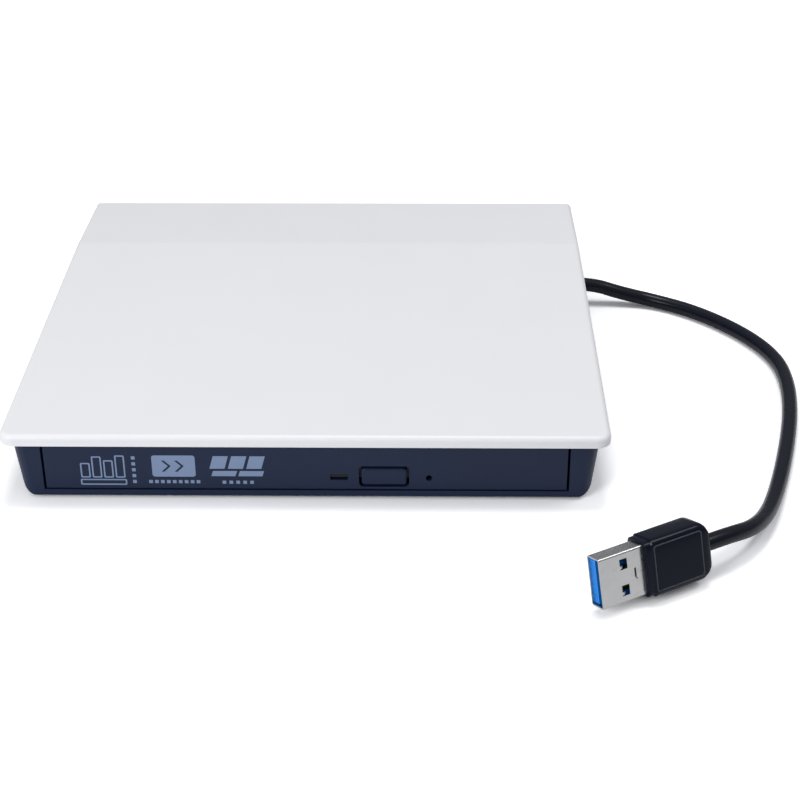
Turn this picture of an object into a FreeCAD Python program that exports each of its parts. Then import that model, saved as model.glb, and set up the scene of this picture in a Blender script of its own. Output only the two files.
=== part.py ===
import FreeCAD, Part
import math
import os
import re
import Sketcher

# Slim external disc drive: white cover plate on a black tapered base, with a
# slim tray drive inside and a short cord to its plug.
# Frame: X to the right, Y to the back, Z up, origin at bottom centre, in mm.

# Driving sizes. Each one is a cell of the sheet.
SIZES = {
    # how far a cut reaches past the face it opens, and how far a pad starts inside what it joins
    "past": 1,
    "root": 0.5,
    # white cover plate
    "cover_overhang": 2.42,
    "cover_thickness": 2.8,
    "cover_wall": 1.6,
    "cover_front_radius": 3.6,
    "cover_rear_radius": 1.4,
    "cover_edge_radius": 1.3,
    "cover_rim_width": 7.2,
    "slope_length": 34.7,
    "slope_drop": 2.1,
    "slope_radius": 14,
    "register_depth": 1.4,
    "register_thickness": 1,
    "register_gap": 0.2,
    "register_front_gap": 0.5,
    "register_rear_gap": 0.3,
    "cover_boss_root": 0.8,
    "cover_boss_step": 0.2,
    "pilot_end": 3,
    # tapered base
    "foot_height": 1,
    "foot_radius": 5,
    "foot_recess": 0.4,
    "foot_inset": 15.9,
    "foot_end_inset": 13,
    "foot_taper": 0.4,
    "foot_play": 0.1,
    "lid_gap": 0.6,
    "case_side_gap": 7.73,
    "bay_depth": 14,
    "case_draft": 6.8,
    "case_wall": 1.6,
    "case_front_setback": 2,
    "case_rear_setback": 2,
    "case_corner_radius": 3.7,
    "case_edge_radius": 3.6,
    "front_wall": 2.2,
    "boss_inset": 7.9,
    "boss_end_inset": 10,
    "boss_radius": 2.6,
    "boss_height": 5,
    "screw_radius": 1,
    "screw_head_radius": 1.9,
    "screw_head_height": 1.2,
    "screw_length": 9,
    "screw_play": 0.15,
    "screw_sink": 0.2,
    "screw_slot_length": 2.6,
    "screw_slot_width": 0.5,
    "vent_count": 7,
    "vent_pitch": 5,
    "vent_width": 1.6,
    "vent_length": 16,
    "bridge_rib_width": 2,
    "bridge_rib_front": 0.6,
    "bridge_rib_back": 5,
    "bridge_rib_left": 4,
    "bridge_rib_right": 6,
    "drive_rib_half": 4,
    "drive_rib_thin": 1,
    "drive_rib_side": 0.6,
    "drive_rib_front": -0.7,
    "drive_rib_middle": 0.05,
    "drive_rib_rear": 0.8,
    # disc drive chassis
    "drive_width": 128,
    "drive_height": 12.7,
    "drive_depth": 122.5,
    "drive_lift": 0.3,
    "pan_wall": 0.7,
    "lid_wall": 0.6,
    "lid_flange": 4,
    "lid_emboss": 0.4,
    "chassis_gap": 0.5,
    "pan_bead_side": 0.2,
    "pan_bead_width": 3,
    "pan_bead_height": 0.4,
    "pan_bead_front": 12,
    "pan_bead_rear": 20,
    "field_side": 12,
    "field_front": 14,
    "field_rear": 34,
    "field_radius": 4,
    "drive_screw_radius": 1.3,
    "drive_screw_head": 0.4,
    "drive_screw_front": 10,
    "drive_screw_rear": 12,
    # tray front
    "bezel_gap": 0.5,
    "bezel_wall": 1.6,
    "bezel_flange": 2.2,
    "bezel_depth": 4,
    "bezel_edge_radius": 0.35,
    "bezel_rim": 1.1,
    "clip_side": 0.7,
    "clip_root": 0.2,
    "clip_width": 12,
    "clip_low": 4,
    "clip_high": 3,
    "button_x": 19.2,
    "button_lift": 3.8,
    "button_width": 10.9,
    "button_height": 4.5,
    "button_gap": 0.7,
    "button_proud": 0.2,
    "button_bevel": 0.35,
    "button_travel": 0.6,
    "button_hole_corner": 1.1,
    "button_corner": 0.8,
    "cap_corner": 0.5,
    "button_rear": 0.4,
    "shank_start": 1,
    "shank_half": 1,
    "barb_inset": 1,
    "barb_front": 0.3,
    "barb_rear": 1.1,
    "barb_width": 4.4,
    "barb_height": 3,
    "switch_height": 0.8,
    "switch_half": 2.2,
    "switch_tall": 1.6,
    "switch_gap": 0.05,
    "led_x": 8.2,
    "led_lift": 3.6,
    "led_width": 4.4,
    "led_height": 1.7,
    "led_recess": 0.7,
    "led_corner": 0.3,
    "led_play": 0.1,
    "lamp_width": 2,
    "lamp_height": 1,
    "lamp_depth": 0.5,
    "pinhole_x": 30.2,
    "pinhole_lift": 3.4,
    "pinhole_radius": 0.8,
    # tray
    "tray_rear_gap": 8,
    "tray_top_drop": 1.6,
    "tray_rim_height": 3,
    "tray_side_gap": 0.5,
    "recess_floor": 1,
    "disc_rim": 0.6,
    "disc_radius": 60.6,
    "small_disc_radius": 40.6,
    "small_disc_step": 0.3,
    "skirt_gap": 0.7,
    "skirt_wall": 1.5,
    "tray_clear": 1.3,
    "tray_plate": 0.3,
    "tray_plate_gap": 0.2,
    "tray_plate_corner": 1,
    "tray_corner": 2.5,
    "skirt_rear": 1,
    "tongue_end": 4,
    "channel_gap": 0.6,
    "ear_post_step": 0.4,
    "mount_bore_depth": 2,
    "post_radius": 2,
    "post_side": 7.8,
    "post_front": 24.7,
    "post_rear": 20.5,
    "post_middle_x": 8,
    "post_middle_rear": 8.5,
    "front_slot_left": 3,
    "front_slot_right": 4.5,
    # slide rails
    "rail_height": 3.9,
    "rail_wall": 0.6,
    "rail_depth": 2,
    "rail_play": 0.1,
    "guide_wall": 0.6,
    "guide_lip": 1.1,
    "guide_front_gap": 1,
    "guide_rear_gap": 3.5,
    "rail_lift": 4.65,
    # mechanism frame, in its own axes: u out along the sled, v across
    "frame_turn": 225,
    "frame_back": 18,
    "frame_tip": 11.5,
    "frame_front_gap": 2.42,
    "frame_window_gap": 0.7,
    "frame_side": 22.4,
    "frame_motor_side": 28.4,
    "frame_gap": 0.52,
    "frame_plate": 0.8,
    "frame_beam": 1.6,
    "frame_beam_height": 3.2,
    "frame_lift": 0.4,
    "frame_step": 1,
    "edge_inset": 0.5,
    "rod_cover": 0.5,
    "rod_wall": 0.6,
    "rod_fit": 0.02,
    "rod_holder_back": 0.5,
    "rod_holder_gap": 0.2,
    "rod_holder_inner": 1.8,
    "rod_holder_outer": 1.4,
    "bracket_wall": 0.9,
    "bracket_inner": 0.2,
    "bracket_outer": 1,
    "journal_inner": 0.3,
    "journal_outer": 0.6,
    "ear_end_gap": 19.5,
    "ear_motor_end_gap": 26.5,
    "ear_back": 12,
    "ear_side": 31.8,
    "ear_low_side": 25.8,
    "ear_radius": 3.4,
    "ear_rise": 0.9,
    "damper_radius": 3,
    "damper_groove": 2.3,
    "damper_height": 1.9,
    "mount_screw_radius": 0.85,
    "mount_head": 0.5,
    "mount_screw_grip": 2,
    "damper_play": 0.3,
    # window cover over the mechanism
    "window_plate": 0.35,
    "window_back": 17,
    "window_side": 15.5,
    "window_tip": 11,
    "window_inset": 2,
    "window_margin": 2,
    "hub_hole_radius": 14.4,
    "slot_side": 8,
    "slot_overlap": 4,
    "slot_end": 2,
    "window_corner": 1.5,
    # spindle
    "bush_radius": 3.3,
    "shaft_radius": 1,
    "shaft_play": 0.03,
    "shaft_lift": 1.2,
    "bush_lift": 0.3,
    "bush_rise": 0.2,
    "bush_fit": 0.1,
    "bush_bore_lift": 0.8,
    "spindle_plate": 0.5,
    "spindle_plate_radius": 13,
    "stator_radius": 9.6,
    "stator_height": 1.2,
    "stator_lift": 2.6,
    "stator_teeth": 9,
    "core_wall": 2,
    "shoe_depth": 0.8,
    "tooth_root": 1,
    "tooth_end": 0.4,
    "tooth_half": 0.7,
    "gap_depth": 1.5,
    "gap_half": 0.5,
    "coil_inner": 2.2,
    "coil_outer": 1,
    "coil_half": 1.25,
    "coil_bore_half": 0.72,
    "coil_fit": 0.02,
    "coil_swell": 0.4,
    "rotor_radius": 12.4,
    "rotor_wall": 0.7,
    "magnet_wall": 1.3,
    "magnet_lift": 0.2,
    "magnet_gap": 0.3,
    "rotor_lift": 1.6,
    "turntable_radius": 13.8,
    "turntable_drop": 0.6,
    "turntable_thickness": 0.7,
    "grip_thickness": 0.5,
    "grip_width": 2.8,
    "grip_inset": 0.2,
    "hub_radius": 7.35,
    "hub_height": 2.4,
    "hub_chamfer": 0.9,
    "claw_root": 3,
    "claw_width": 3,
    "claw_reach": 0.6,
    "claw_travel": 0.8,
    "claw_height": 1,
    "claw_play": 0.1,
    "claw_tail_gap": 0.2,
    "claw_sink": 0.1,
    "claw_bevel": 0.4,
    "claw_bevel_rise": 0.1,
    "claw_bore_radius": 0.32,
    "claw_bore_length": 1.6,
    "claw_bore_lift": 0.45,
    "spring_radius": 0.27,
    "spring_bore": 0.12,
    "spring_length": 1.6,
    # sled and its guides
    "lens_inner": 23.5,
    "sled_end_gap": 35.5,
    "rod_side": 18,
    "rod_radius": 1,
    "rod_lift": 2.6,
    "rod_back": 1.5,
    "rod_end_gap": 9.9,
    "bearing_radius": 1.9,
    "bearing_length": 21.5,
    "bearing_inset": 0.5,
    "arm_root": 1,
    "arm_half": 1.2,
    "sled_half_width": 15,
    "sled_nose_half": 10,
    "sled_back": 8.5,
    "sled_shoulder": 3,
    "sled_nose": 7.5,
    "sled_lift": 0.4,
    "sled_cover_gap": 0.45,
    "sled_park_gap": 0.7,
    "sled_side_gap": 0.3,
    "screw_side": 24.3,
    "lead_screw_radius": 1,
    "lead_screw_end_gap": 20.5,
    "lead_screw_start": 1.6,
    "lead_screw_end": 0.4,
    "journal_length": 5,
    "motor_radius": 3.6,
    "motor_length": 9,
    "motor_lift": 3.9,
    "motor_gap": 2.6,
    "motor_play": 0.1,
    "motor_flange": 0.8,
    "motor_flange_rise": 2,
    "motor_cover_gap": 0.3,
    "motor_bore_start": 2,
    "fork_length": 3,
    "follower_back": 9,
    "follower_reach": 1.6,
    "follower_drop": 2,
    "follower_rise": 1,
    "follower_sheet": 0.8,
    "tooth_length": 0.8,
    "tooth_drop": 1.3,
    "tooth_gap": 0.1,
    "flex_width": 8,
    "flex_end": 2,
    "flex_thickness": 0.2,
    # lens
    "lens_radius": 2.5,
    "lens_seat": 0.5,
    "lens_depth": 0.5,
    "lens_play": 0.05,
    "lens_sink": 0.1,
    "crown_outer": 0.7,
    "crown_outer_rise": 0.15,
    "crown_inner": 0.35,
    "crown_inner_rise": 0.35,
    "crown_rise": 0.4,
    "beam_inset": 0.6,
    "holder_length": 10,
    "holder_width": 5.4,
    "holder_height": 2.2,
    "holder_rise": 0.25,
    "holder_corner": 1,
    "holder_clear": 0.9,
    "actuator_half": 5.2,
    "actuator_side": 7.6,
    "actuator_corner": 0.8,
    "focus_gap": 0.5,
    "focus_rise": 0.2,
    "focus_magnet": 1.2,
    "focus_magnet_half": 3.5,
    "focus_yoke": 0.7,
    "focus_yoke_half": 4.5,
    "laser_radius": 1.6,
    "laser_height": 0.3,
    "laser_back": 1,
    "laser_side": 3,
    "detector_back": 7,
    "detector_front": 2,
    "detector_near": 1,
    "detector_far": 5,
    # latch
    "pin_side_inset": 20.3,
    "pin_inset": 11.5,
    "pin_radius": 0.9,
    "pin_height": 2.4,
    "pin_channel": 2.6,
    "latch_offset": 3.3,
    "latch_arm": 10,
    "latch_thickness": 0.8,
    "latch_width": 1.7,
    "latch_tail": 14.6,
    "hook_width": 1.6,
    "hook_inset": 0.2,
    "hook_length": 6,
    "arm_inset": 1,
    "magnet_length": 9,
    "magnet_depth": 7,
    "release_gap": 0.3,
    "release_coil_radius": 2.1,
    "coil_lift": 2.2,
    "cheek": 1,
    "cheek_height": 4.6,
    "latch_gap": 0.06,
    "latch_lift": 0.15,
    "pivot_radius": 0.9,
    "pivot_play": 0.04,
    "plunger_x": 24,
    "plunger_radius": 0.7,
    "plunger_length": 17,
    "plunger_play": 0.1,
    "plunger_cover": 0.5,
    "plunger_gap": 0.1,
    "collar_inset": 4,
    "collar_rise": 0.4,
    "collar_length": 0.8,
    # boards and connectors
    "board_thickness": 0.8,
    "board_ear_gap": 0.03,
    "tray_board_lift": 2.5,
    "board_left": 10,
    "board_side": 1,
    "board_rear": 4,
    "board_latch_gap": 3,
    "board_inner_front": 14.7,
    "board_inner_rear": 17.3,
    "board_slant_front": 18.7,
    "board_slant_rear": 18.5,
    "board_slant_x": 37.8,
    "board_limb_x": 4,
    "board_limb_front": 12.5,
    "front_board_left": 5,
    "front_board_right": 7,
    "front_board_gap": 0.2,
    "flex_socket_left": 2,
    "flex_socket_right": 5.8,
    "flex_socket_front": 12.7,
    "flex_socket_rear": 8.7,
    "flex_socket_height": 1.2,
    "small_part_length": 1.6,
    "small_part_width": 0.9,
    "small_part_height": 0.6,
    "side_row_count": 6,
    "side_row_inset": 7.8,
    "side_row_front": 28.7,
    "side_row_pitch": 3.2,
    "rear_row_count": 5,
    "rear_row_inset": 33.8,
    "rear_row_gap": 10.5,
    "rear_row_pitch": 3.4,
    "bridge_gap": 2.1,
    "bridge_rear_gap": 0.8,
    "bridge_left_share": 0.39,
    "bridge_right_share": 0.266,
    "bridge_lift": 2.6,
    "bridge_row_count": 6,
    "bridge_row_x": 11.6,
    "bridge_row_y": 5,
    "bridge_row_pitch": 3.6,
    "sata_share": 0.234,
    "sata_width": 31,
    "sata_height": 3.6,
    "sata_wall": 0.8,
    "sata_depth": 4,
    "sata_lift": 1.7,
    "sata_play": 0.15,
    "sata_hole_gap": 0.2,
    "sata_back": 1,
    "sata_rear_gap": 0.1,
    "blade_end": 2,
    "blade_left": 6,
    "blade_right": 3,
    "blade_half": 0.6,
    "blade_inset": 0.6,
    "socket_gap": 0.2,
    "socket_depth": 3,
    "socket_foot_inset": 0.4,
    "socket_wall": 1,
    "socket_left": 5.2,
    "socket_right": 3.8,
    "socket_slot_end": 0.2,
    "socket_slot_half": 0.75,
    "rear_board_side": 4,
    "rear_board_end": 2,
    "rear_board_front": 2.6,
    "rear_board_gap": 0.1,
    "rear_board_thickness": 1.2,
    "ribbon_x": 8,
    "ribbon_width": 12,
    "ribbon_thickness": 0.16,
    "ribbon_fold_reach": 16.7,
    "ribbon_gap": 0.05,
    "ribbon_start": 2.8,
    "ribbon_end": 8,
    # cord and plug
    "cord_diameter": 4,
    "exit_inset": 33.7,
    "exit_lift": 3.7,
    "grommet_radius": 2.9,
    "grommet_lip": 0.3,
    "grommet_flange": 0.9,
    "grommet_root": 1,
    "grommet_fit": 0.02,
    "grommet_lip_back": 1.6,
    "grommet_lip_length": 0.9,
    "lead_diameter": 0.9,
    "lead_count": 3,
    "lead_pitch": 1.2,
    "lead_inset": 2.2,
    "lead_end": 2,
    "plug_out": 5.75,
    "plug_ahead": 146.3,
    "plug_z": 7.9,
    "plug_turn": 30.3,
    "plug_lean": -15.6,
    "plug_width": 14,
    "plug_thickness": 7.8,
    "plug_length": 17.5,
    "plug_edge": 1,
    "plug_corner": 3.2,
    "shell_width": 12,
    "shell_height": 4.5,
    "shell_wall": 0.32,
    "shell_length": 11.8,
    "shell_corner": 0.5,
    "shell_inner_corner": 0.2,
    "square_side": 0.26,
    "square_front": 5.4,
    "square_length": 2,
    "square_width": 2.5,
    "tongue_width": 10.9,
    "tongue_thickness": 1.84,
    "tongue_recess": 0.6,
    "tongue_core": 2.4,
    "tongue_root_gap": 0.4,
    "contact_rear": 2.6,
    "flat_contact_count": 4,
    "flat_contact_pitch": 2.3,
    "flat_contact_width": 1,
    "flat_contact_front": 1.6,
    "flat_contact_height": 0.12,
    "raised_contact_count": 5,
    "raised_contact_pitch": 1.9,
    "raised_contact_width": 0.5,
    "raised_contact_front": 4.6,
    "raised_contact_low": 0.2,
    "raised_contact_high": 0.5,
    # route of the cord, from where it leaves the case; the rise is above the surface
    "route_lead": 7,
    "route_tail": 8,
    "route_x_1": 15.35, "route_y_1": -0.6, "route_rise_1": 1.7,
    "route_x_2": 25.15, "route_y_2": -2.2, "route_rise_2": 0,
    "route_x_3": 35.15, "route_y_3": -8.4, "route_rise_3": 0,
    "route_x_4": 44.15, "route_y_4": -17.4, "route_rise_4": 0,
    "route_x_5": 51.55, "route_y_5": -28, "route_rise_5": 0,
    "route_x_6": 55.95, "route_y_6": -39.6, "route_rise_6": 0,
    "route_x_7": 56.35, "route_y_7": -52.4, "route_rise_7": 0,
    "route_x_8": 54.55, "route_y_8": -66.3, "route_rise_8": 0,
    "route_x_9": 51.45, "route_y_9": -80.3, "route_rise_9": 0,
    "route_x_10": 47.75, "route_y_10": -94.1, "route_rise_10": 0,
    "route_x_11": 43.75, "route_y_11": -107, "route_rise_11": 0.1,
    "route_x_12": 39.55, "route_y_12": -118.4, "route_rise_12": 1.4,
    "route_x_13": 34.35, "route_y_13": -127.6, "route_rise_13": 3.8,
}

ROUTE_POINTS = 13

# Angles of the claws about the spindle.
CLAW_ANGLES = (90, 210, 330)

# Share of the shorter run that a bend of the cord takes.
BEND_SHARE = 0.45

# Chips: a place along X with its two reaches, the same along Y, and a height.
TRAY_CHIPS = (
    ("board_inner", 4, 16, "disc_y", -6.7, 5.3, 1.1),
    ("board_inner", 4, 12, "disc_y", 11.3, 19.3, 0.9),
    ("skirt_inner", -15.8, -3.8, "disc_y", 25.3, 30.3, 1.2),
    ("ribbon_x", -7, 7, "tray_rear", -9.5, -5, 1.2),
)
BRIDGE_CHIPS = (
    ("0", -6, 1, "bridge_y", 0.4, 7, 0.9),
    ("0", 5, 8.2, "bridge_y", 1, 3.5, 0.8),
    ("0", 11, 14, "bridge_y", 3.6, 6.6, 1.2),
    ("0", 24, 32.6, "bridge_y", 1, 6, 2.2),
)

# Sizes and places worked out from the driving ones.
DERIVED = {
    "case_height": "case_wall + drive_lift + drive_height + lid_gap",
    "case_width": "drive_width + 2 * case_side_gap",
    "cover_width": "case_width + 2 * cover_overhang",
    "case_depth": "bezel_depth + chassis_gap + drive_depth + bay_depth",
    "cover_depth": "case_front_setback + case_depth + case_rear_setback",
    "seat": "foot_height + case_height",
    "cover_front": "-cover_depth / 2",
    "cover_top": "seat + cover_thickness",
    "slope_y": "cover_depth / 2 - slope_length",
    "slope_rate": "slope_drop / slope_length",
    "case_front": "cover_front + case_front_setback",
    "case_rear": "cover_depth / 2 - case_rear_setback",
    "case_lean": "case_height * tan(case_draft)",
    "corner_margin": "2 * case_corner_radius",
    "corner_clear": "case_corner_radius / 25",
    "case_foot_half": "case_width / 2 - case_lean",
    "case_floor": "foot_height + case_wall",
    "boss_x": "case_foot_half - boss_inset",
    "boss_y": "case_rear - boss_end_inset",
    "foot_x": "case_foot_half - foot_inset",
    "foot_y": "case_rear - foot_end_inset",
    "inner_seat_half": "case_width / 2 - case_wall",
    "inner_floor_half": "case_foot_half + case_wall * tan(case_draft) - case_wall",
    "inner_rear": "case_rear - case_wall",
    "inner_floor_rear": "inner_rear - (case_height - case_wall) * tan(case_draft)",
    "drive_bottom": "case_floor + drive_lift",
    "drive_top": "drive_bottom + drive_height",
    "drive_front": "case_front + bezel_depth + chassis_gap",
    "drive_rear": "drive_front + drive_depth",
    "pan_floor": "drive_bottom + pan_wall",
    "pan_outer": "drive_width / 2 - lid_wall",
    "pan_inner": "pan_outer - pan_wall",
    "pan_rear": "drive_rear - pan_wall",
    "lid_under": "drive_top - lid_wall",
    "bezel_half": "drive_width / 2",
    "bezel_back": "case_front + bezel_depth",
    "button_z": "drive_bottom + button_lift",
    "led_z": "drive_bottom + led_lift",
    "pinhole_z": "drive_bottom + pinhole_lift",
    "tray_front": "bezel_back",
    "tray_rear": "drive_rear - tray_rear_gap",
    "disc_y": "tray_front + disc_rim + disc_radius",
    "tray_half": "pan_inner - tray_side_gap",
    "tray_top": "lid_under - tray_top_drop",
    "tray_under": "tray_top - tray_rim_height",
    "recess_top": "tray_under + recess_floor",
    "tray_bottom": "pan_floor + tray_clear",
    "skirt_x": "rail_inner - skirt_gap",
    "skirt_inner": "skirt_x - skirt_wall",
    "rail_z": "drive_bottom + rail_lift",
    "rail_low": "rail_z - rail_height / 2",
    "rail_high": "rail_z + rail_height / 2",
    "guide_web": "pan_inner - guide_wall",
    "guide_front": "drive_front + guide_front_gap",
    "guide_rear": "drive_rear - guide_rear_gap",
    "rail_outer": "guide_web - rail_play",
    "rail_inner": "rail_outer - rail_depth",
    "rail_front": "drive_front + 2 * rail_wall",
    "rail_rear": "guide_rear - rail_wall",
    "tongue_outer": "rail_outer - rail_wall - rail_play",
    "tongue_half": "rail_height / 2 - rail_wall - rail_play",
    "frame_z": "tray_bottom + frame_lift",
    "frame_room": "disc_rim + disc_radius - skirt_wall - frame_front_gap",
    "frame_diagonal": "min(skirt_inner - frame_gap; frame_room) * sqrt(2)",
    "frame_reach": "frame_diagonal - frame_tip",
    "ear_reach": "frame_reach - ear_end_gap",
    "ear_motor_reach": "frame_reach - ear_motor_end_gap",
    "rod_reach": "frame_reach - rod_end_gap",
    "sled_travel": "frame_reach - sled_end_gap",
    "lead_screw_reach": "frame_reach - lead_screw_end_gap",
    "window_reach": "window_diagonal - window_tip",
    "window_diagonal": "frame_diagonal - window_inset",
    "rod_z": "frame_z + rod_lift",
    "motor_z": "frame_z + motor_lift",
    "stator_z": "frame_z + stator_lift",
    "rotor_z": "frame_z + rotor_lift",
    "turntable_z": "recess_top - turntable_drop",
    "sled_bottom": "frame_z + sled_lift",
    "sled_park": "lens_inner - sled_back - sled_park_gap",
    "sled_top": "window_z - sled_cover_gap",
    "holder_top": "window_z + holder_rise",
    "holder_bottom": "holder_top - holder_height",
    "lens_z": "holder_top - lens_depth",
    "pin_x": "skirt_inner - pin_side_inset",
    "pin_y": "tray_front + pin_inset",
    "latch_x": "pin_x + latch_offset",
    "latch_y": "pin_y + latch_arm",
    "latch_z": "tray_bottom + latch_lift",
    "tray_board_z": "tray_bottom + tray_board_lift",
    "ear_far_x": "-ear_back * cos(frame_turn) - ear_side * sin(frame_turn)",
    "board_inner": "ear_far_x + damper_radius + board_ear_gap",
    "bridge_y": "drive_rear + bridge_gap",
    "bridge_depth": "inner_floor_rear - bridge_rear_gap - bridge_y",
    "bridge_z": "case_floor + bridge_lift",
    "bridge_left": "drive_width * bridge_left_share",
    "bridge_right": "drive_width * bridge_right_share",
    "sata_x": "-drive_width * sata_share",
    "sata_z": "bridge_top + sata_lift",
    "exit_y": "case_rear - exit_inset",
    "exit_z": "case_floor + exit_lift",
    "ribbon_fold_y": "disc_y - ribbon_fold_reach",
    "frame_window": "lens_inner - bearing_length - frame_window_gap",
    "window_z": "tray_under - window_plate",
    "beam_top": "frame_z + frame_beam_height",
    "grip_z": "turntable_z + turntable_thickness",
    "hub_z": "grip_z",
    "hub_top": "hub_z + hub_height",
    "ear_z": "frame_z + ear_rise",
    "ear_top": "ear_z + frame_plate",
    "damper_low": "(ear_z + ear_top) / 2 - damper_height / 2",
    "damper_high": "(ear_z + ear_top) / 2 + damper_height / 2",
    "plunger_z": "tray_under - plunger_radius - plunger_cover",
    "board_face": "tray_front + skirt_wall",
    "switch_face": "board_face - switch_height",
    "bridge_top": "bridge_z + board_thickness",
    "grommet_x": "case_width / 2 - (seat - exit_z) * tan(case_draft)",
    "cord_start": "grommet_x + grommet_flange",
    "plug_x": "cord_start + plug_out",
    "plug_y": "exit_y - plug_ahead",
    "shell_root": "plug_length / 3",
}

SHEET = "Sizes"
PARTS_FOLDER = "parts"
TOLERANCE = 1e-6
NEAR = 0.001
EDGE_SLACK = 0.01

doc = FreeCAD.newDocument("disc_drive")
sheet = doc.addObject("Spreadsheet::Sheet", SHEET)
for row, (alias, size) in enumerate(SIZES.items(), start=1):
    sheet.set(f"A{row}", alias)
    sheet.set(f"B{row}", str(size))
    sheet.setAlias(f"B{row}", alias)
doc.recompute()

pieces = {}


def near(first, second):
    """Whether two places are the same."""
    return abs(first - second) < NEAR


def bound(text):
    """Give an expression in which each size is read from the sheet."""
    def swap(match):
        word = match.group(0)
        if word in SIZES:
            return f"{SHEET}.{word}"
        if word in DERIVED:
            return f"({bound(DERIVED[word])})"
        return word
    return re.sub(r"[a-z][a-z0-9_]*", swap, str(text))


def value(text):
    """Work an expression out as a number."""
    return float(sheet.evalExpression(bound(text)))


def keep(label, item):
    """Name a finished sub-part."""
    item.Label = label
    pieces[label] = item
    return item


def move(item, x=None, y=None, z=None, turn=None, axis=(0, 0, 1)):
    """Place an item, with its place and its turn bound to the sheet."""
    if turn is not None:
        rotation = FreeCAD.Rotation(FreeCAD.Vector(*axis), value(turn))
        item.Placement = FreeCAD.Placement(FreeCAD.Vector(0, 0, 0), rotation)
        item.setExpression("Placement.Rotation.Angle", bound(turn))
    for name, text in (("x", x), ("y", y), ("z", z)):
        if text is not None:
            item.setExpression(f"Placement.Base.{name}", bound(text))
    return item


def on_frame(item):
    """Set a piece of the mechanism on its turned frame."""
    return move(item, y="disc_y", turn="frame_turn")


# Solids made of simple forms

def block(x0, x1, y0, y1, z0, z1):
    """A box between two corners."""
    item = doc.addObject("Part::Box", "block")
    for name, low, high in (("Length", x0, x1), ("Width", y0, y1), ("Height", z0, z1)):
        item.setExpression(name, bound(f"({high}) - ({low})"))
    return move(item, x0, y0, z0)


AXES = {
    "z": FreeCAD.Rotation(),
    "x": FreeCAD.Rotation(FreeCAD.Vector(0, 1, 0), 90),
    "y": FreeCAD.Rotation(FreeCAD.Vector(1, 0, 0), -90),
}


def rod(x, y, z, radius, length, axis="z"):
    """A cylinder that starts at a point and runs along an axis."""
    item = doc.addObject("Part::Cylinder", "rod")
    item.setExpression("Radius", bound(radius))
    item.setExpression("Height", bound(length))
    item.Placement = FreeCAD.Placement(FreeCAD.Vector(0, 0, 0), AXES[axis])
    return move(item, x, y, z)


def cone(x, y, z, low_radius, high_radius, length):
    """A cone that starts at a point and runs up."""
    item = doc.addObject("Part::Cone", "cone")
    item.setExpression("Radius1", bound(low_radius))
    item.setExpression("Radius2", bound(high_radius))
    item.setExpression("Height", bound(length))
    return move(item, x, y, z)


def fuse(*items):
    """One solid from solids that meet."""
    if len(items) == 1:
        return items[0]
    item = doc.addObject("Part::MultiFuse", "fuse")
    item.Shapes = list(items)
    item.Refine = True
    return item


def cut(base, *tools):
    """A solid less other solids."""
    item = doc.addObject("Part::Cut", "cut")
    item.Base = base
    item.Tool = fuse(*tools)
    return item


def common(base, tool):
    """What two solids share."""
    item = doc.addObject("Part::Common", "common")
    item.Base = base
    item.Tool = tool
    return item


def group(*items):
    """Separate solids that are one node."""
    item = doc.addObject("Part::Compound", "group")
    item.Links = list(items)
    return item


# Sketches, pads and pockets

def bind(sketch, constraint, text):
    """Add a constraint whose size follows the sheet."""
    index = sketch.addConstraint(constraint)
    sketch.setExpression(f"Constraints[{index}]", bound(text))


def pin_down(sketch, shape, point, x, y):
    """Fix a point of a sketch by its two coordinates."""
    bind(sketch, Sketcher.Constraint("DistanceX", -1, 1, shape, point, value(x)), x)
    bind(sketch, Sketcher.Constraint("DistanceY", -1, 1, shape, point, value(y)), y)


def outline(*corners):
    """A closed outline. Each corner is x, y and, where it is rounded, a radius."""
    def draw(sketch):
        count = len(corners)
        points = [FreeCAD.Vector(value(c[0]), value(c[1]), 0) for c in corners]
        radii = [value(c[2]) if len(c) > 2 else 0 for c in corners]
        ends = []
        for index in range(count):
            here = points[index]
            back = (points[index - 1] - here).normalize()
            ahead = (points[(index + 1) % count] - here).normalize()
            radius = radii[index]
            half = back.getAngle(ahead) / 2
            trim = radius / math.tan(half)
            centre = here + (back + ahead).normalize() * (radius / math.sin(half))
            ends.append((here + back * trim, here + ahead * trim, centre))
        lines = []
        for index in range(count):
            span = Part.LineSegment(ends[index][1], ends[(index + 1) % count][0])
            lines.append(sketch.addGeometry(span))
        for index in range(count):
            before, after = lines[index - 1], lines[index]
            x, y = corners[index][:2]
            if not radii[index]:
                sketch.addConstraint(Sketcher.Constraint("Coincident", before, 2, after, 1))
                pin_down(sketch, after, 1, x, y)
                continue
            first, last, centre = ends[index]
            outward = (points[index] - centre).normalize()
            arc = sketch.addGeometry(Part.Arc(first, centre + outward * radii[index], last))
            start = 1 if near(sketch.getPoint(arc, 1).distanceToPoint(first), 0) else 2
            sketch.addConstraint(Sketcher.Constraint("Tangent", before, 2, arc, start))
            sketch.addConstraint(Sketcher.Constraint("Tangent", arc, 3 - start, after, 1))
            corner = sketch.addGeometry(Part.Point(points[index]), True)
            sketch.addConstraint(Sketcher.Constraint("PointOnObject", corner, 1, before))
            sketch.addConstraint(Sketcher.Constraint("PointOnObject", corner, 1, after))
            pin_down(sketch, corner, 1, x, y)
            radius = corners[index][2]
            bind(sketch, Sketcher.Constraint("Radius", arc, radii[index]), radius)
    return draw


def rectangle(x0, x1, y0, y1, radius=None):
    """A rectangle, with all its corners rounded if it has a radius."""
    corners = ((x0, y0), (x1, y0), (x1, y1), (x0, y1))
    if radius is not None:
        corners = [corner + (radius,) for corner in corners]
    return outline(*corners)


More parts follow.
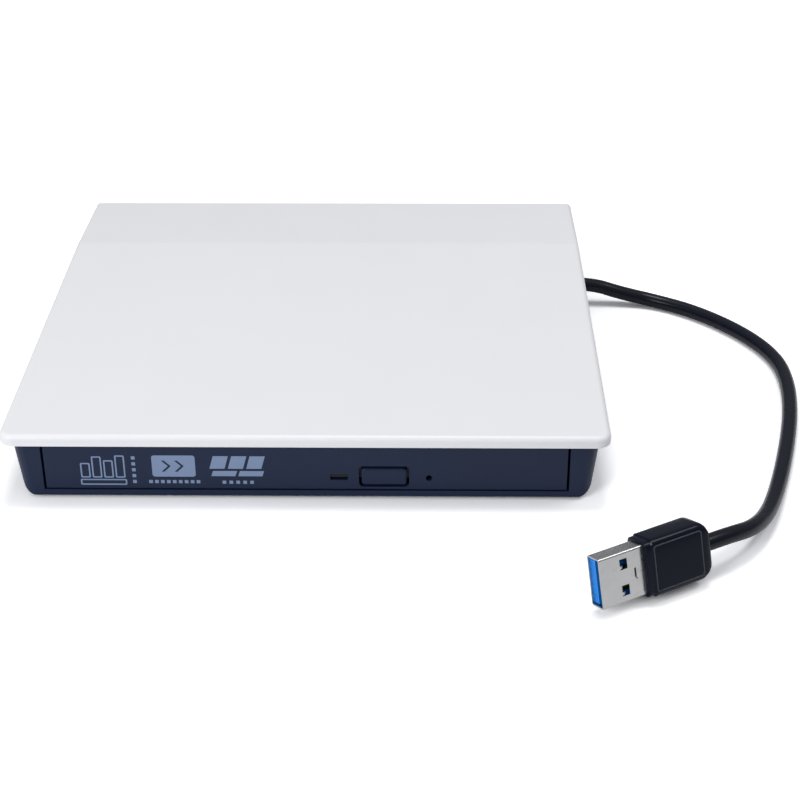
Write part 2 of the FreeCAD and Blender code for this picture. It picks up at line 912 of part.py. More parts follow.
def ring(x, y, radius):
    """A circle."""
    def draw(sketch):
        centre = FreeCAD.Vector(value(x), value(y), 0)
        circle = Part.Circle(centre, FreeCAD.Vector(0, 0, 1), value(radius))
        index = sketch.addGeometry(circle)
        pin_down(sketch, index, 3, x, y)
        bind(sketch, Sketcher.Constraint("Radius", index, value(radius)), radius)
    return draw


PLANES = {"z": "XY_Plane", "y": "XZ_Plane", "x": "YZ_Plane"}


class Shell:
    """A sub-part made of pads and pockets, each bound to the sheet."""

    def __init__(self, label):
        self.body = doc.addObject("PartDesign::Body", label)
        self.label = label

    def sketch(self, across, place, *shapes):
        """Draw on the plane across an axis, at a place along that axis."""
        sketch = self.body.newObject("Sketcher::SketchObject", "outline")
        role = PLANES[across]
        plane = next(f for f in self.body.Origin.OriginFeatures if f.Role == role)
        sketch.AttachmentSupport = [(plane, "")]
        sketch.MapMode = "FlatFace"
        sign = "-" if across == "y" else ""
        sketch.setExpression("AttachmentOffset.Base.z", bound(f"{sign}({place})"))
        for draw in shapes:
            draw(sketch)
        return sketch

    def pad(self, across, low, high, *shapes):
        """Add the material between two places along an axis."""
        start = high if across == "y" else low
        profile = self.sketch(across, start, *shapes)
        feature = self.body.newObject("PartDesign::Pad", "pad")
        feature.Profile = profile
        feature.setExpression("Length", bound(f"({high}) - ({low})"))
        return feature

    def pocket(self, across, low, high, *shapes):
        """Take away the material between two places along an axis."""
        start = low if across == "y" else high
        profile = self.sketch(across, start, *shapes)
        feature = self.body.newObject("PartDesign::Pocket", "pocket")
        feature.Profile = profile
        feature.setExpression("Length", bound(f"({high}) - ({low})"))
        return feature

    def fillet(self, radius, chosen):
        """Round the edges of the last feature that a test chooses."""
        doc.recompute()
        last = self.body.Tip
        names = [
            f"Edge{index}" for index, edge in enumerate(last.Shape.Edges, start=1)
            if chosen(edge.BoundBox)
        ]
        feature = self.body.newObject("PartDesign::Fillet", "fillet")
        feature.Base = (last, names)
        feature.setExpression("Radius", bound(radius))
        return feature

    def done(self):
        """Name the finished body."""
        return keep(self.label, self.body)


# Outer case

def make_case():
    """Tapered base: a drafted trough, open at the top, with a slot for the tray front."""
    shell = Shell("bottom_case")
    shell.pad("y", "case_front", "case_rear", outline(
        ("-case_width / 2", "seat"),
        ("-case_foot_half", "foot_height", "case_edge_radius"),
        ("case_foot_half", "foot_height", "case_edge_radius"),
        ("case_width / 2", "seat"),
    ))
    margin = "corner_margin"
    shell.pocket("x", "-case_width", "case_width", outline(
        (f"case_rear - case_lean - {margin}", "foot_height"),
        ("case_rear - case_lean", "foot_height", "case_edge_radius"),
        ("case_rear", "seat"),
        ("case_rear", f"seat + {margin}"),
        (f"case_rear + {margin}", f"seat + {margin}"),
        (f"case_rear + {margin}", f"foot_height - {margin}"),
        (f"case_rear - case_lean - {margin}", f"foot_height - {margin}"),
    ))
    for side in (-1, 1):
        round_case_corner(shell, side, -1)
        round_case_corner(shell, side, 1)
    shell.pocket("y", "case_front + front_wall", "inner_floor_rear", outline(
        ("-inner_seat_half - past * tan(case_draft)", "seat + past"),
        ("-inner_floor_half", "case_floor", "case_wall"),
        ("inner_floor_half", "case_floor", "case_wall"),
        ("inner_seat_half + past * tan(case_draft)", "seat + past"),
    ))
    opening = "bezel_half + bezel_gap"
    shell.pocket("y", "case_front - past", "case_front + front_wall + past", outline(
        (f"-({opening})", "case_floor"), (opening, "case_floor"),
        (opening, "seat + past"), (f"-({opening})", "seat + past"),
    ))
    shell.pocket("x", "-case_width", "case_width", outline(
        ("slope_y", "seat"),
        ("case_rear + past", "seat - (case_rear + past - slope_y) * slope_rate"),
        ("case_rear + past", "seat + past"), ("slope_y", "seat + past"),
    ))
    add_case_supports(shell)
    open_case_floor(shell)
    shell.done()


def add_case_supports(shell):
    """Screw bosses, ribs under the bridge board and ribs under the drive."""
    low = "case_floor - foot_recess"
    shell.pad("z", low, "case_floor + boss_height",
              *[ring(f"{side} * boss_x", "boss_y", "boss_radius") for side in (-1, 1)])
    shell.pad("z", low, "bridge_z", *[
        rectangle(x, f"{x} + bridge_rib_width", "bridge_y + bridge_rib_front",
                  "bridge_y + bridge_rib_back")
        for x in ("-bridge_left + bridge_rib_left", "bridge_right - bridge_rib_right")])
    ribs = []
    for side in (-1, 1):
        x = f"{side} * bezel_half * drive_rib_side"
        for end in ("drive_rib_front", "drive_rib_middle", "drive_rib_rear"):
            y = f"drive_rear * {end}"
            ribs.append(rectangle(f"{x} - drive_rib_half", f"{x} + drive_rib_half",
                                  f"{y} - drive_rib_thin", f"{y} + drive_rib_thin"))
    shell.pad("z", low, "drive_bottom", *ribs)


def open_case_floor(shell):
    """Screw holes, recesses of the feet, the cord's hole and the vent slots."""
    below = "foot_height - past"
    bosses = [f"{side} * boss_x" for side in (-1, 1)]
    shell.pocket("z", below, "case_floor + boss_height + past",
                 *[ring(x, "boss_y", "screw_radius + screw_play") for x in bosses])
    shell.pocket("z", below, "foot_height + screw_head_height + screw_sink",
                 *[ring(x, "boss_y", "screw_head_radius + screw_sink") for x in bosses])
    shell.pocket("z", below, "foot_height + foot_recess", *[
        ring(f"{side} * foot_x", f"{end} * foot_y", "foot_radius")
        for side in (-1, 1) for end in (-1, 1)])
    shell.pocket("x", "inner_floor_half - past", "case_width",
                 ring("exit_y", "exit_z", "grommet_radius"))
    slots = [f"({index} - (vent_count - 1) / 2) * vent_pitch"
             for index in range(int(value("vent_count")))]
    shell.pocket("z", below, "case_floor + past", *[
        rectangle(f"{x} - vent_width / 2", f"{x} + vent_width / 2",
                  "-vent_length / 2", "vent_length / 2") for x in slots])


def round_case_corner(shell, side, end):
    """Round one upright corner of the base along its sloping edge."""
    x, y = f"{side} * case_width / 2", "case_front" if end < 0 else "case_rear"
    reach, out = "corner_margin", "case_corner_radius"
    clear = "corner_clear"
    sketch = shell.sketch("z", "seat", outline(
        (f"{x} - {side} * {reach}", f"{y} + {end} * {clear}"), (x, y, "case_corner_radius"),
        (f"{x} + {side} * {clear}", f"{y} - {end} * {reach}"),
        (f"{x} + {side} * {out}", f"{y} + {end} * {out}"),
    ))
    feature = shell.body.newObject("PartDesign::Pocket", "corner")
    feature.Profile = sketch
    feature.UseCustomVector = True
    lean = math.tan(math.radians(value("case_draft")))
    feature.Direction = FreeCAD.Vector(-side * lean, -lean if end > 0 else 0, -1)
    feature.AlongSketchNormal = True
    feature.setExpression("Length", bound("case_height + past"))


def make_cover():
    """White cover plate: flat, then falling to the rear, hollow underneath."""
    shell = Shell("top_cover")
    rear = "cover_depth / 2"
    hollow_top = "cover_top - cover_wall"
    shell.pad("x", "-cover_width / 2", "cover_width / 2", outline(
        ("cover_front", "seat"), ("slope_y", "seat"),
        (rear, "seat - slope_drop"), (rear, "cover_top - slope_drop"),
        ("slope_y", "cover_top", "slope_radius"), ("cover_front", "cover_top"),
    ))
    half, beyond = "cover_width / 2", "cover_width / 2 + cover_thickness"
    ends = "cover_depth / 2 + cover_thickness"
    shell.pocket("z", "0", "cover_top + past", outline(
        (f"-{half}", "cover_front", "cover_front_radius"),
        (half, "cover_front", "cover_front_radius"),
        (half, rear, "cover_rear_radius"),
        (f"-{half}", rear, "cover_rear_radius"),
    ), rectangle(f"-({beyond})", beyond, f"-({ends})", ends))
    top = value("cover_top - slope_drop") - EDGE_SLACK
    shell.fillet("cover_edge_radius", lambda box: box.ZMin > top and not (
        near(box.XMin, -box.XMax) and near(box.YMin, box.YMax)
        and abs(box.YMin) < value(f"{rear} - past")))
    inside = f"{half} - cover_rim_width"
    step = "cover_depth / 2 - cover_rim_width"
    shell.pocket("x", f"-({inside})", inside, outline(
        (f"-({step})", hollow_top), (f"-({step})", "seat - slope_drop - past"),
        (step, "seat - slope_drop - past"),
        (step, f"{hollow_top} - ({step} - slope_y) * slope_rate"),
        ("slope_y", hollow_top),
    ))
    add_cover_register(shell)
    for side in (-1, 1):
        x = f"{side} * boss_x"
        shell.pad("z", "case_floor + boss_height", f"{hollow_top} - slope_drop + cover_boss_root",
                  ring(x, "boss_y", "boss_radius - cover_boss_step"))
        shell.pocket("z", "case_floor", "case_floor + boss_height + screw_length - pilot_end",
                     ring(x, "boss_y", "screw_radius"))
    shell.done()


def add_cover_register(shell):
    """Ribs under the cover that sit just inside the walls of the base."""
    low = "seat - register_depth"
    outer = "inner_seat_half - register_depth * tan(case_draft) - register_gap"
    inner = f"{outer} - register_thickness"
    back = "inner_floor_rear - register_rear_gap"
    for side in (-1, 1):
        shell.pad("z", low, "seat + root", outline(
            (f"{side} * ({inner})", "case_front + front_wall + register_front_gap"),
            (f"{side} * ({outer})", "case_front + front_wall + register_front_gap"),
            (f"{side} * ({outer})", "slope_y"), (f"{side} * ({inner})", "slope_y"),
        ))
    shell.pad("z", f"{low} - slope_drop", "seat + register_gap - slope_drop", rectangle(
        "-boss_x + 2 * boss_radius", "boss_x - 2 * boss_radius",
        f"{back} - register_thickness", back))


def make_feet():
    """Four round rubber feet in shallow recesses."""
    feet = []
    for side in (-1, 1):
        for end in (-1, 1):
            x, y = f"{side} * foot_x", f"{end} * foot_y"
            foot = fuse(
                cone(x, y, "0", "foot_radius - foot_taper", "foot_radius - foot_play",
                     "foot_height / 2"),
                rod(x, y, "foot_height / 2", "foot_radius - foot_play",
                    "foot_height / 2 + foot_recess"))
            feet.append(foot)
    keep("rubber_feet", group(*feet))


def make_case_screws():
    """Two screws from below, up into the bosses of the cover."""
    screws = []
    long, thin = "screw_slot_length / 2", "screw_slot_width / 2"
    for side in (-1, 1):
        x, low = f"{side} * boss_x", "foot_height + screw_sink"
        deep = f"{low} + screw_head_height / 2"
        head = rod(x, "boss_y", low, "screw_head_radius", "screw_head_height")
        shank = rod(x, "boss_y", low, "screw_radius", "screw_length")
        slots = [
            block(f"{x} - {wide}", f"{x} + {wide}", f"boss_y - {tall}", f"boss_y + {tall}", low, deep)
            for wide, tall in ((long, thin), (thin, long))]
        screws.append(cut(fuse(head, shank), *slots))
    keep("case_screws", group(*screws))


# Disc drive chassis

def make_pan():
    """Steel pan of the drive, open to the front, with a cut-out for its connector."""
    shell = Shell("drive_pan")
    shell.pad("y", "drive_front", "drive_rear", outline(
        ("-pan_outer", "drive_bottom"), ("pan_outer", "drive_bottom"),
        ("pan_outer", "lid_under"), ("pan_inner", "lid_under"), ("pan_inner", "pan_floor"),
        ("-pan_inner", "pan_floor"), ("-pan_inner", "lid_under"), ("-pan_outer", "lid_under"),
    ))
    shell.pad("y", "pan_rear", "drive_rear", rectangle(
        "-pan_inner - pan_wall / 2", "pan_inner + pan_wall / 2",
        "drive_bottom + pan_wall / 2", "lid_under"))
    opening = "sata_width / 2 + sata_wall + sata_hole_gap"
    tall = "sata_height / 2 + sata_wall + sata_hole_gap"
    shell.pocket("y", "pan_rear - past", "drive_rear + past", rectangle(
        f"sata_x - ({opening})", f"sata_x + {opening}",
        f"sata_z - ({tall})", f"sata_z + {tall}"))
    for side in (-1, 1):
        x = f"{side} * drive_width * pan_bead_side"
        shell.pad("z", "pan_floor - pan_wall / 2", "pan_floor + pan_bead_height", rectangle(
            f"{x} - pan_bead_width / 2", f"{x} + pan_bead_width / 2",
            "drive_front + pan_bead_front", "pan_rear - pan_bead_rear"))
    shell.done()


def make_lid():
    """Steel lid with folded sides that lap over the pan, and a raised field."""
    shell = Shell("drive_lid")
    half = "drive_width / 2"
    low = "drive_top - lid_flange"
    shell.pad("y", "drive_front", "drive_rear", outline(
        (f"-{half}", low), ("-pan_outer", low), ("-pan_outer", "lid_under"),
        ("pan_outer", "lid_under"), ("pan_outer", low), (half, low),
        (half, "drive_top"), (f"-{half}", "drive_top"),
    ))
    field = "drive_width / 2 - field_side"
    front, rear = "drive_front + field_front", "drive_rear - field_rear"
    shell.pad("z", "drive_top - lid_wall / 2", "drive_top + lid_emboss", rectangle(
        f"-({field})", field, front, rear, "field_radius"))
    shell.pocket("z", "lid_under - past", "drive_top + lid_emboss - lid_wall", rectangle(
        f"-({field} - lid_wall)", f"{field} - lid_wall",
        f"{front} + lid_wall", f"{rear} - lid_wall", "field_radius - lid_wall"))
    shell.done()


def make_drive_screws():
    """Small screws through the folded sides of the lid."""
    screws = []
    for start in ("drive_width / 2", "-drive_width / 2 - drive_screw_head"):
        for y in ("drive_front + drive_screw_front", "drive_rear - drive_screw_rear"):
            screws.append(rod(start, y, "drive_top - lid_flange / 2", "drive_screw_radius",
                              "drive_screw_head", "x"))
    keep("drive_screws", group(*screws))


def make_guides():
    """Plastic channels on the pan's side walls that hold the slide rails."""
    guides = []
    for side in (-1, 1):
        lip = "pan_inner - guide_wall - guide_lip"
        front, back = "guide_front", "guide_rear"
        low, high = "rail_low - rail_play", "rail_high + rail_play"
        ends = sorted((f"{side} * ({lip})", f"{side} * pan_inner"), key=value)
        web = sorted((f"{side} * guide_web", f"{side} * pan_inner"), key=value)
        guides.append(fuse(
            block(*web, front, back, f"{low} - guide_wall", f"{high} + guide_wall"),
            block(*ends, front, back, f"{low} - guide_wall", low),
            block(*ends, front, back, high, f"{high} + guide_wall")))
    keep("rail_guides", group(*guides))


def make_rails():
    """Steel channel rails that run half as far as the tray."""
    for side, label in ((-1, "slide_rail_left"), (1, "slide_rail_right")):
        span = sorted((f"{side} * rail_inner", f"{side} * rail_outer"), key=value)
        web = sorted((f"{side} * (rail_outer - rail_wall)", f"{side} * rail_outer"), key=value)
        ends = ("rail_front", "rail_rear")
        keep(label, fuse(
            block(*web, *ends, "rail_low", "rail_high"),
            block(*span, *ends, "rail_low", "rail_low + rail_wall"),
            block(*span, *ends, "rail_high - rail_wall", "rail_high")))


# Tray and its front

def make_tray():
    """Moulded tray: disc well on top, skirts below, and a tongue along each side."""
    shell = Shell("tray")
    shell.pad("z", "tray_under", "tray_top", rectangle(
        "-tray_half", "tray_half", "tray_front", "tray_rear", "tray_corner"))
    shell.pad("z", "tray_bottom", "tray_under + root", rectangle(
        "-skirt_x", "skirt_x", "tray_front", "tray_rear - skirt_rear"))
    shell.pad("y", "tray_front + tongue_end", "tray_rear - tongue_end", *[
        rectangle(*sorted((f"{side} * (skirt_x - root)", f"{side} * tongue_outer"), key=value),
                  "rail_z - tongue_half", "rail_z + tongue_half") for side in (-1, 1)])
    shell.pocket("z", "tray_bottom - past", "tray_under", rectangle(
        "-skirt_inner", "skirt_inner", "tray_front + skirt_wall", "tray_rear - skirt_rear - skirt_wall"))
    shell.pocket("z", "recess_top", "tray_top + past", ring("0", "disc_y", "disc_radius"))
    shell.pocket("z", "recess_top - small_disc_step", "tray_top + past",
                 ring("0", "disc_y", "small_disc_radius"))
    shell.pocket("z", "tray_bottom - past", "latch_z + latch_thickness + channel_gap", rectangle(
        "pin_x - pin_channel / 2", "pin_x + pin_channel / 2",
        "tray_rear - skirt_rear - skirt_wall - past", "tray_rear + past"))
    shell.pad("z", "damper_high", "tray_under + root",
              *[turned_ring(x, y, "damper_radius - ear_post_step") for x, y in ear_places()])
    shell.pad("z", "tray_board_z + board_thickness", "tray_under + root",
              *[ring(x, y, "post_radius") for x, y in board_posts()])
    shell.pad("z", "tray_bottom", "tray_under + root", ring("latch_x", "latch_y", "pivot_radius"))
    shell.pocket("z", "damper_high - past", "damper_high + mount_bore_depth",
                 *[turned_ring(x, y, "mount_screw_radius") for x, y in ear_places()])
    shell.pocket("y", "tray_front - past", "board_face", rectangle(
        "led_x - front_slot_left", "button_x + front_slot_right", "tray_bottom - past",
        "button_z + button_height / 2"))
    shell.pocket("y", "board_face", "tray_rear + past",
                 ring("plunger_x", "plunger_z", "plunger_radius + plunger_play"))
    cut_window(shell)
    shell.done()


def ear_places():
    """Where the mechanism frame hangs on its dampers, in the frame's own axes."""
    return (
        ("-ear_back", "-ear_low_side"), ("ear_reach", "-ear_low_side"),
        ("-ear_back", "ear_side"), ("ear_motor_reach", "ear_side"),
    )


def turned(x, y):
    """A point of the mechanism frame, in the axes of the whole drive."""
    return (
        f"({x}) * cos(frame_turn) - ({y}) * sin(frame_turn)",
        f"disc_y + ({x}) * sin(frame_turn) + ({y}) * cos(frame_turn)",
    )


def turned_ring(x, y, radius):
    """A circle at a point of the mechanism frame."""
    return ring(*turned(x, y), radius)


def cut_window(shell):
    """Open the tray's floor over the turntable and the sled's way."""
    side, reach = "window_side", "window_reach"
    shoulder = "window_diagonal - window_side"
    tip = "window_diagonal - window_reach"
    corners = (
        ("-window_back", f"-{side}"), (shoulder, f"-{side}"), (reach, f"-({tip})"),
        (reach, tip), (shoulder, side), ("-window_back", side),
    )
    shell.pocket("z", "tray_under - past", "tray_top + past",
                 outline(*[turned(x, y) + ("window_corner",) for x, y in corners]))


def board_posts():
    """Where the tray's board is held."""
    side = "skirt_inner - post_side"
    return (
        (side, "disc_y - post_front"), (side, "tray_rear - post_rear"),
        ("post_middle_x", "tray_rear - post_middle_rear"),
    )


def make_tray_plate():
    """Thin steel plate that closes the tray from below."""
    shell = Shell("tray_bottom_plate")
    low = "tray_bottom - tray_plate"
    shell.pad("z", low, "tray_bottom", rectangle(
        "-skirt_x + tray_plate_gap", "skirt_x - tray_plate_gap",
        "tray_front + tray_plate_gap", "tray_rear - skirt_rear - tray_plate_gap",
        "tray_plate_corner"))
    shell.pocket("z", f"{low} - past", "tray_bottom + past", rectangle(
        "pin_x - pin_channel / 2", "pin_x + pin_channel / 2",
        "pin_y - pin_channel / 2", "tray_rear + past"))
    shell.done()


def make_window_cover():
    """Steel cover over the mechanism, with a hole for the hub and a slot for the lens."""
    shell = Shell("mechanism_cover")
    wide = "window_side + window_margin"
    back = "-window_back - window_margin"
    diagonal = "window_diagonal + window_margin"
    shoulder = f"{diagonal} - ({wide})"
    reach = "window_reach + window_margin / 2"
    tip = f"{diagonal} - ({reach})"
    shell.pad("z", "window_z", "tray_under", outline(
        (back, f"-({wide})"), (shoulder, f"-({wide})"), (reach, f"-({tip})"),
        (reach, tip), (shoulder, wide), (back, wide)))
    shell.pocket("z", "window_z - past", "tray_under + past", ring("0", "0", "hub_hole_radius"))
    shell.pocket("z", "window_z - past", "tray_under + past", rectangle(
        "hub_hole_radius - slot_overlap", "lens_inner + sled_travel + holder_width / 2 + slot_end",
        "-slot_side", "slot_side", "window_corner"))
    on_frame(shell.body)
    shell.done()


def make_bezel():
    """Tray front with openings for the button, the light and the release hole."""
    shell = Shell("bezel")
    low, high = "drive_bottom", "drive_top"
    shell.pad("y", "case_front", "bezel_back", rectangle("-bezel_half", "bezel_half", low, high))
    edge = value("case_front")
    shell.fillet("bezel_edge_radius", lambda box: near(box.YMin, edge) and near(box.YMax, edge))
    shell.pocket("y", "case_front + bezel_wall", "bezel_back + past", rectangle(
        "-bezel_half + bezel_flange", "bezel_half - bezel_flange",
        f"{low} + bezel_rim", f"{high} - bezel_rim"))
    shell.pocket("y", "case_front - past", "bezel_back", rectangle(
        "button_x - button_width / 2 - button_gap", "button_x + button_width / 2 + button_gap",
        "button_z - button_height / 2 - button_gap", "button_z + button_height / 2 + button_gap",
        "button_hole_corner"))
    shell.pocket("y", "case_front - past", "bezel_back", rectangle(
        "led_x - led_width / 2", "led_x + led_width / 2",
        "led_z - led_height / 2", "led_z + led_height / 2", "led_corner"))
    shell.pocket("y", "case_front - past", "bezel_back",
                 ring("pinhole_x", "pinhole_z", "pinhole_radius"))
    for side in (-1, 1):
        x = f"{side} * bezel_half * clip_side"
        shell.pad("y", "case_front + bezel_wall - clip_root", "bezel_back", rectangle(
            f"{x} - clip_width / 2", f"{x} + clip_width / 2",
            f"{high} - clip_low", f"{high} - clip_high"))
    shell.done()


def make_button():
    """Eject button: a bevelled cap with a shank that reaches the switch."""
    shell = Shell("eject_button")
    sides = ("button_x - button_width / 2", "button_x + button_width / 2",
             "button_z - button_height / 2", "button_z + button_height / 2")
    shell.pad("y", "case_front", "case_front + bezel_wall + button_rear",
              rectangle(*sides, "button_corner"))
    cap = [f"{text} {sign} button_bevel" for text, sign in zip(sides, "+-+-")]
    base = shell.sketch("y", "case_front", rectangle(*sides, "button_corner"))
    top = shell.sketch("y", "case_front - button_proud", rectangle(*cap, "cap_corner"))
    loft = shell.body.newObject("PartDesign::AdditiveLoft", "bevel")
    loft.Profile = base
    loft.Sections = [top]
    loft.Ruled = True
    shell.pad("y", "case_front + shank_start", "switch_face - button_travel - switch_gap", rectangle(
        "button_x - shank_half", "button_x + shank_half",
        "button_z - shank_half", "button_z + shank_half"))
    for side in (-1, 1):
        x = f"button_x + {side} * (button_width / 2 - barb_inset)"
        shell.pad("y", "case_front + bezel_wall + barb_front", "case_front + bezel_wall + barb_rear",
                  rectangle(f"{x} - barb_width / 2", f"{x} + barb_width / 2",
                            "button_z - barb_height / 2", "button_z + barb_height / 2"))
    shell.done()


def make_led_lens():
    """Clear light guide from the lamp to the front face."""
    shell = Shell("led_light_guide")
    half, tall = "led_width / 2 - led_play", "led_height / 2 - led_play"
    shell.pad("y", "case_front + led_recess", "board_face - lamp_depth", rectangle(
        f"led_x - ({half})", f"led_x + {half}", f"led_z - ({tall})", f"led_z + {tall}"))
    shell.done()


def make_tray_board():
    """Main board of the drive, beside the mechanism, with a limb behind the front."""
    shell = Shell("tray_board")
    left, right = "pin_x + board_left", "skirt_inner - board_side"
    front, rear = "latch_y + board_latch_gap", "tray_rear - board_rear"
    shell.pad("z", "tray_board_z", "tray_board_z + board_thickness", outline(
        (left, front), (right, front), (right, rear), ("-board_limb_x", rear),
        ("-board_limb_x", "tray_rear - board_limb_front"),
        ("skirt_inner - board_slant_x", "tray_rear - board_slant_rear"),
        ("board_inner", "disc_y + board_inner_rear"),
        ("board_inner", "disc_y - board_inner_front"), (left, "disc_y - board_slant_front")))
    shell.done()


def make_front_board():
    """Small upright board behind the front that carries the switch and the lamp."""
    keep("front_board", block(
        "led_x - front_board_left", "button_x + front_board_right", "board_face",
        "board_face + board_thickness", "tray_bottom + front_board_gap",
        "button_z + button_height / 2"))


def chips(rows, face, up):
    """Chips on a board's face, from rows of a place with its two reaches, twice, and a height."""
    parts = []
    for x, x0, x1, y, y0, y1, height in rows:
        low, high = (face, f"{face} + {height}") if up else (f"{face} - {height}", face)
        parts.append(block(f"{x} + ({x0})", f"{x} + ({x1})", f"{y} + ({y0})", f"{y} + ({y1})",
                           low, high))
    return parts


def small_parts(places, face, up):
    """Small parts of one size on a board's face, each from its left front corner."""
    low, high = (face, f"{face} + small_part_height") if up else (f"{face} - small_part_height", face)
    return [block(x, f"{x} + small_part_length", y, f"{y} + small_part_width", low, high)
            for x, y in places]


def make_board_parts():
    """Chips, connectors and small parts on the tray's board."""
    low, top = "tray_board_z", "tray_board_z + board_thickness"
    socket = block("board_inner + flex_socket_left", "skirt_inner - flex_socket_right",
                   "disc_y - flex_socket_front", "disc_y - flex_socket_rear",
                   top, f"{top} + flex_socket_height")
    side = [("skirt_inner - side_row_inset", f"disc_y - side_row_front + {index} * side_row_pitch")
            for index in range(int(value("side_row_count")))]
    rear = [(f"skirt_inner - rear_row_inset + {index} * rear_row_pitch", "tray_rear - rear_row_gap")
            for index in range(int(value("rear_row_count")))]
    keep("tray_board_parts", group(*chips(TRAY_CHIPS, low, up=False), socket,
                                   *small_parts(side + rear, low, up=False)))


def make_switch():
    """Push switch and lamp on the front board."""
    body = block("button_x - switch_half", "button_x + switch_half", "switch_face", "board_face",
                 "button_z - switch_tall", "button_z + switch_tall")
    lamp = block("led_x - lamp_width / 2", "led_x + lamp_width / 2", "board_face - lamp_depth",
                 "board_face", "led_z - lamp_height / 2", "led_z + lamp_height / 2")
    keep("switch_and_lamp", group(body, lamp))


# Mechanism frame and what it carries

def make_frame():
    """Frame of the mechanism: a plate round a window, with raised beams and four ears."""
    shell = Shell("mechanism_frame")
    beam = "frame_beam"
    shoulder_low = "frame_diagonal - frame_side"
    shoulder_high = "frame_diagonal - frame_motor_side"
    tip = "frame_diagonal - frame_reach"
    inner = f"frame_diagonal - {beam} * sqrt(2)"
    inner_low, inner_high = f"-frame_side + {beam}", f"frame_motor_side - {beam}"
    inner_reach = f"frame_reach - {beam}"
    outer = [
        ("-frame_back", "-frame_side"), (shoulder_low, "-frame_side"), ("frame_reach", f"-({tip})"),
        ("frame_reach", tip), (shoulder_high, "frame_motor_side"),
        ("-frame_back", "frame_motor_side"),
    ]
    shell.pad("z", "frame_z", "beam_top", outline(*outer))
    step, edge = "sled_park", "sled_half_width + sled_side_gap"
    shell.pocket("z", "frame_z - past", "beam_top + past", outline(
        ("frame_window", inner_low),
        (f"{inner} + ({inner_low})", inner_low),
        (inner_reach, f"-({inner} - ({inner_reach}))"),
        (inner_reach, f"{inner} - ({inner_reach})"),
        (f"{inner} - ({inner_high})", inner_high),
        ("frame_window", inner_high), ("frame_window", edge),
        (step, edge), (step, f"-({edge})"), ("frame_window", f"-({edge})")))
    shell.pocket("z", "frame_z + frame_plate", "beam_top + past", outline(
        (f"-frame_back + {beam}", inner_low), ("frame_window + frame_step", inner_low),
        ("frame_window + frame_step", f"-({edge})"), (f"{step} + frame_step", f"-({edge})"),
        (f"{step} + frame_step", edge), ("frame_window + frame_step", edge),
        ("frame_window + frame_step", inner_high), (f"-frame_back + {beam}", inner_high)))
    shell.pocket("z", "frame_z - past", "beam_top + past", ring("0", "0", "bush_radius"))
    add_rod_holders(shell)
    add_screw_brackets(shell)
    add_ears(shell)
    on_frame(shell.body)
    shell.done()


def add_rod_holders(shell):
    """Blocks at both ends of each guide rod."""
    top = "rod_z + rod_radius + rod_cover"
    half = "rod_radius + rod_wall"
    near_end = ("-rod_back - rod_holder_back", "frame_window - rod_holder_gap")
    far_end = ("rod_reach - rod_holder_inner", "rod_reach + rod_holder_outer")
    sides = [f"{side} * rod_side" for side in (-1, 1)]
    shell.pad("z", "frame_z", top, *[
        rectangle(low, high, f"{v} - ({half})", f"{v} + {half}")
        for v in sides for low, high in (near_end, far_end)])
    shell.pocket("x", "-rod_back", "rod_reach",
                 *[ring(v, "rod_z", "rod_radius + rod_fit") for v in sides])


def add_screw_brackets(shell):
    """Bracket that bears the far end of the lead screw."""
    half = "lead_screw_radius + bracket_wall"
    low, high = "lead_screw_reach - bracket_inner", "lead_screw_reach + bracket_outer"
    shell.pad("z", "frame_z", f"rod_z + {half}", rectangle(
        low, high, f"screw_side - ({half})", "frame_motor_side - edge_inset"))
    shell.pocket("x", "lead_screw_reach - journal_inner", "lead_screw_reach + journal_outer",
                 ring("screw_side", "rod_z", "lead_screw_radius / 2 + shaft_play"))


def add_ears(shell):
    """Ears that sit in the grooves of the dampers."""
    ears = []
    for x, y in ear_places():
        side = -1 if value(y) < 0 else 1
        edge = "-frame_side + edge_inset" if side < 0 else "frame_motor_side - edge_inset"
        ears.append(outline(
            (f"{x} - ear_radius", edge), (f"{x} + ear_radius", edge),
            (f"{x} + ear_radius", f"{y} + {side} * ear_radius / 2"),
            (f"{x} + ear_radius / 2", f"{y} + {side} * ear_radius"),
            (f"{x} - ear_radius / 2", f"{y} + {side} * ear_radius"),
            (f"{x} - ear_radius", f"{y} + {side} * ear_radius / 2")))
    shell.pad("z", "ear_z", "ear_top", *ears)
    shell.pocket("z", "ear_z - past", "ear_top + past",
                 *[ring(x, y, "damper_groove") for x, y in ear_places()])


def make_dampers():
    """Rubber rings between the frame and the tray."""
    dampers = []
    for x, y in ear_places():
        ring_solid = fuse(
            rod(x, y, "damper_low", "damper_radius", "ear_z - damper_low"),
            rod(x, y, "damper_low", "damper_groove", "damper_height"),
            rod(x, y, "ear_top", "damper_radius", "damper_high - ear_top"))
        bore = rod(x, y, "damper_low - past", "mount_screw_radius + damper_play",
                   "damper_height + 2 * past")
        dampers.append(cut(ring_solid, bore))
    keep("frame_dampers", on_frame(group(*dampers)))


def make_mount_screws():
    """Shoulder screws through the dampers into the tray."""
    screws = []
    for x, y in ear_places():
        screws.append(fuse(
            rod(x, y, "damper_low - mount_head", "damper_groove", "mount_head"),
            rod(x, y, "damper_low - mount_head", "mount_screw_radius",
                "damper_height + mount_screw_grip")))
    keep("frame_screws", on_frame(group(*screws)))


def make_guide_rods():
    """Two ground steel rods that carry the sled."""
    rods = [rod("-rod_back", f"{side} * rod_side", "rod_z", "rod_radius", "rod_reach + rod_back", "x")
            for side in (-1, 1)]
    keep("guide_rods", on_frame(group(*rods)))


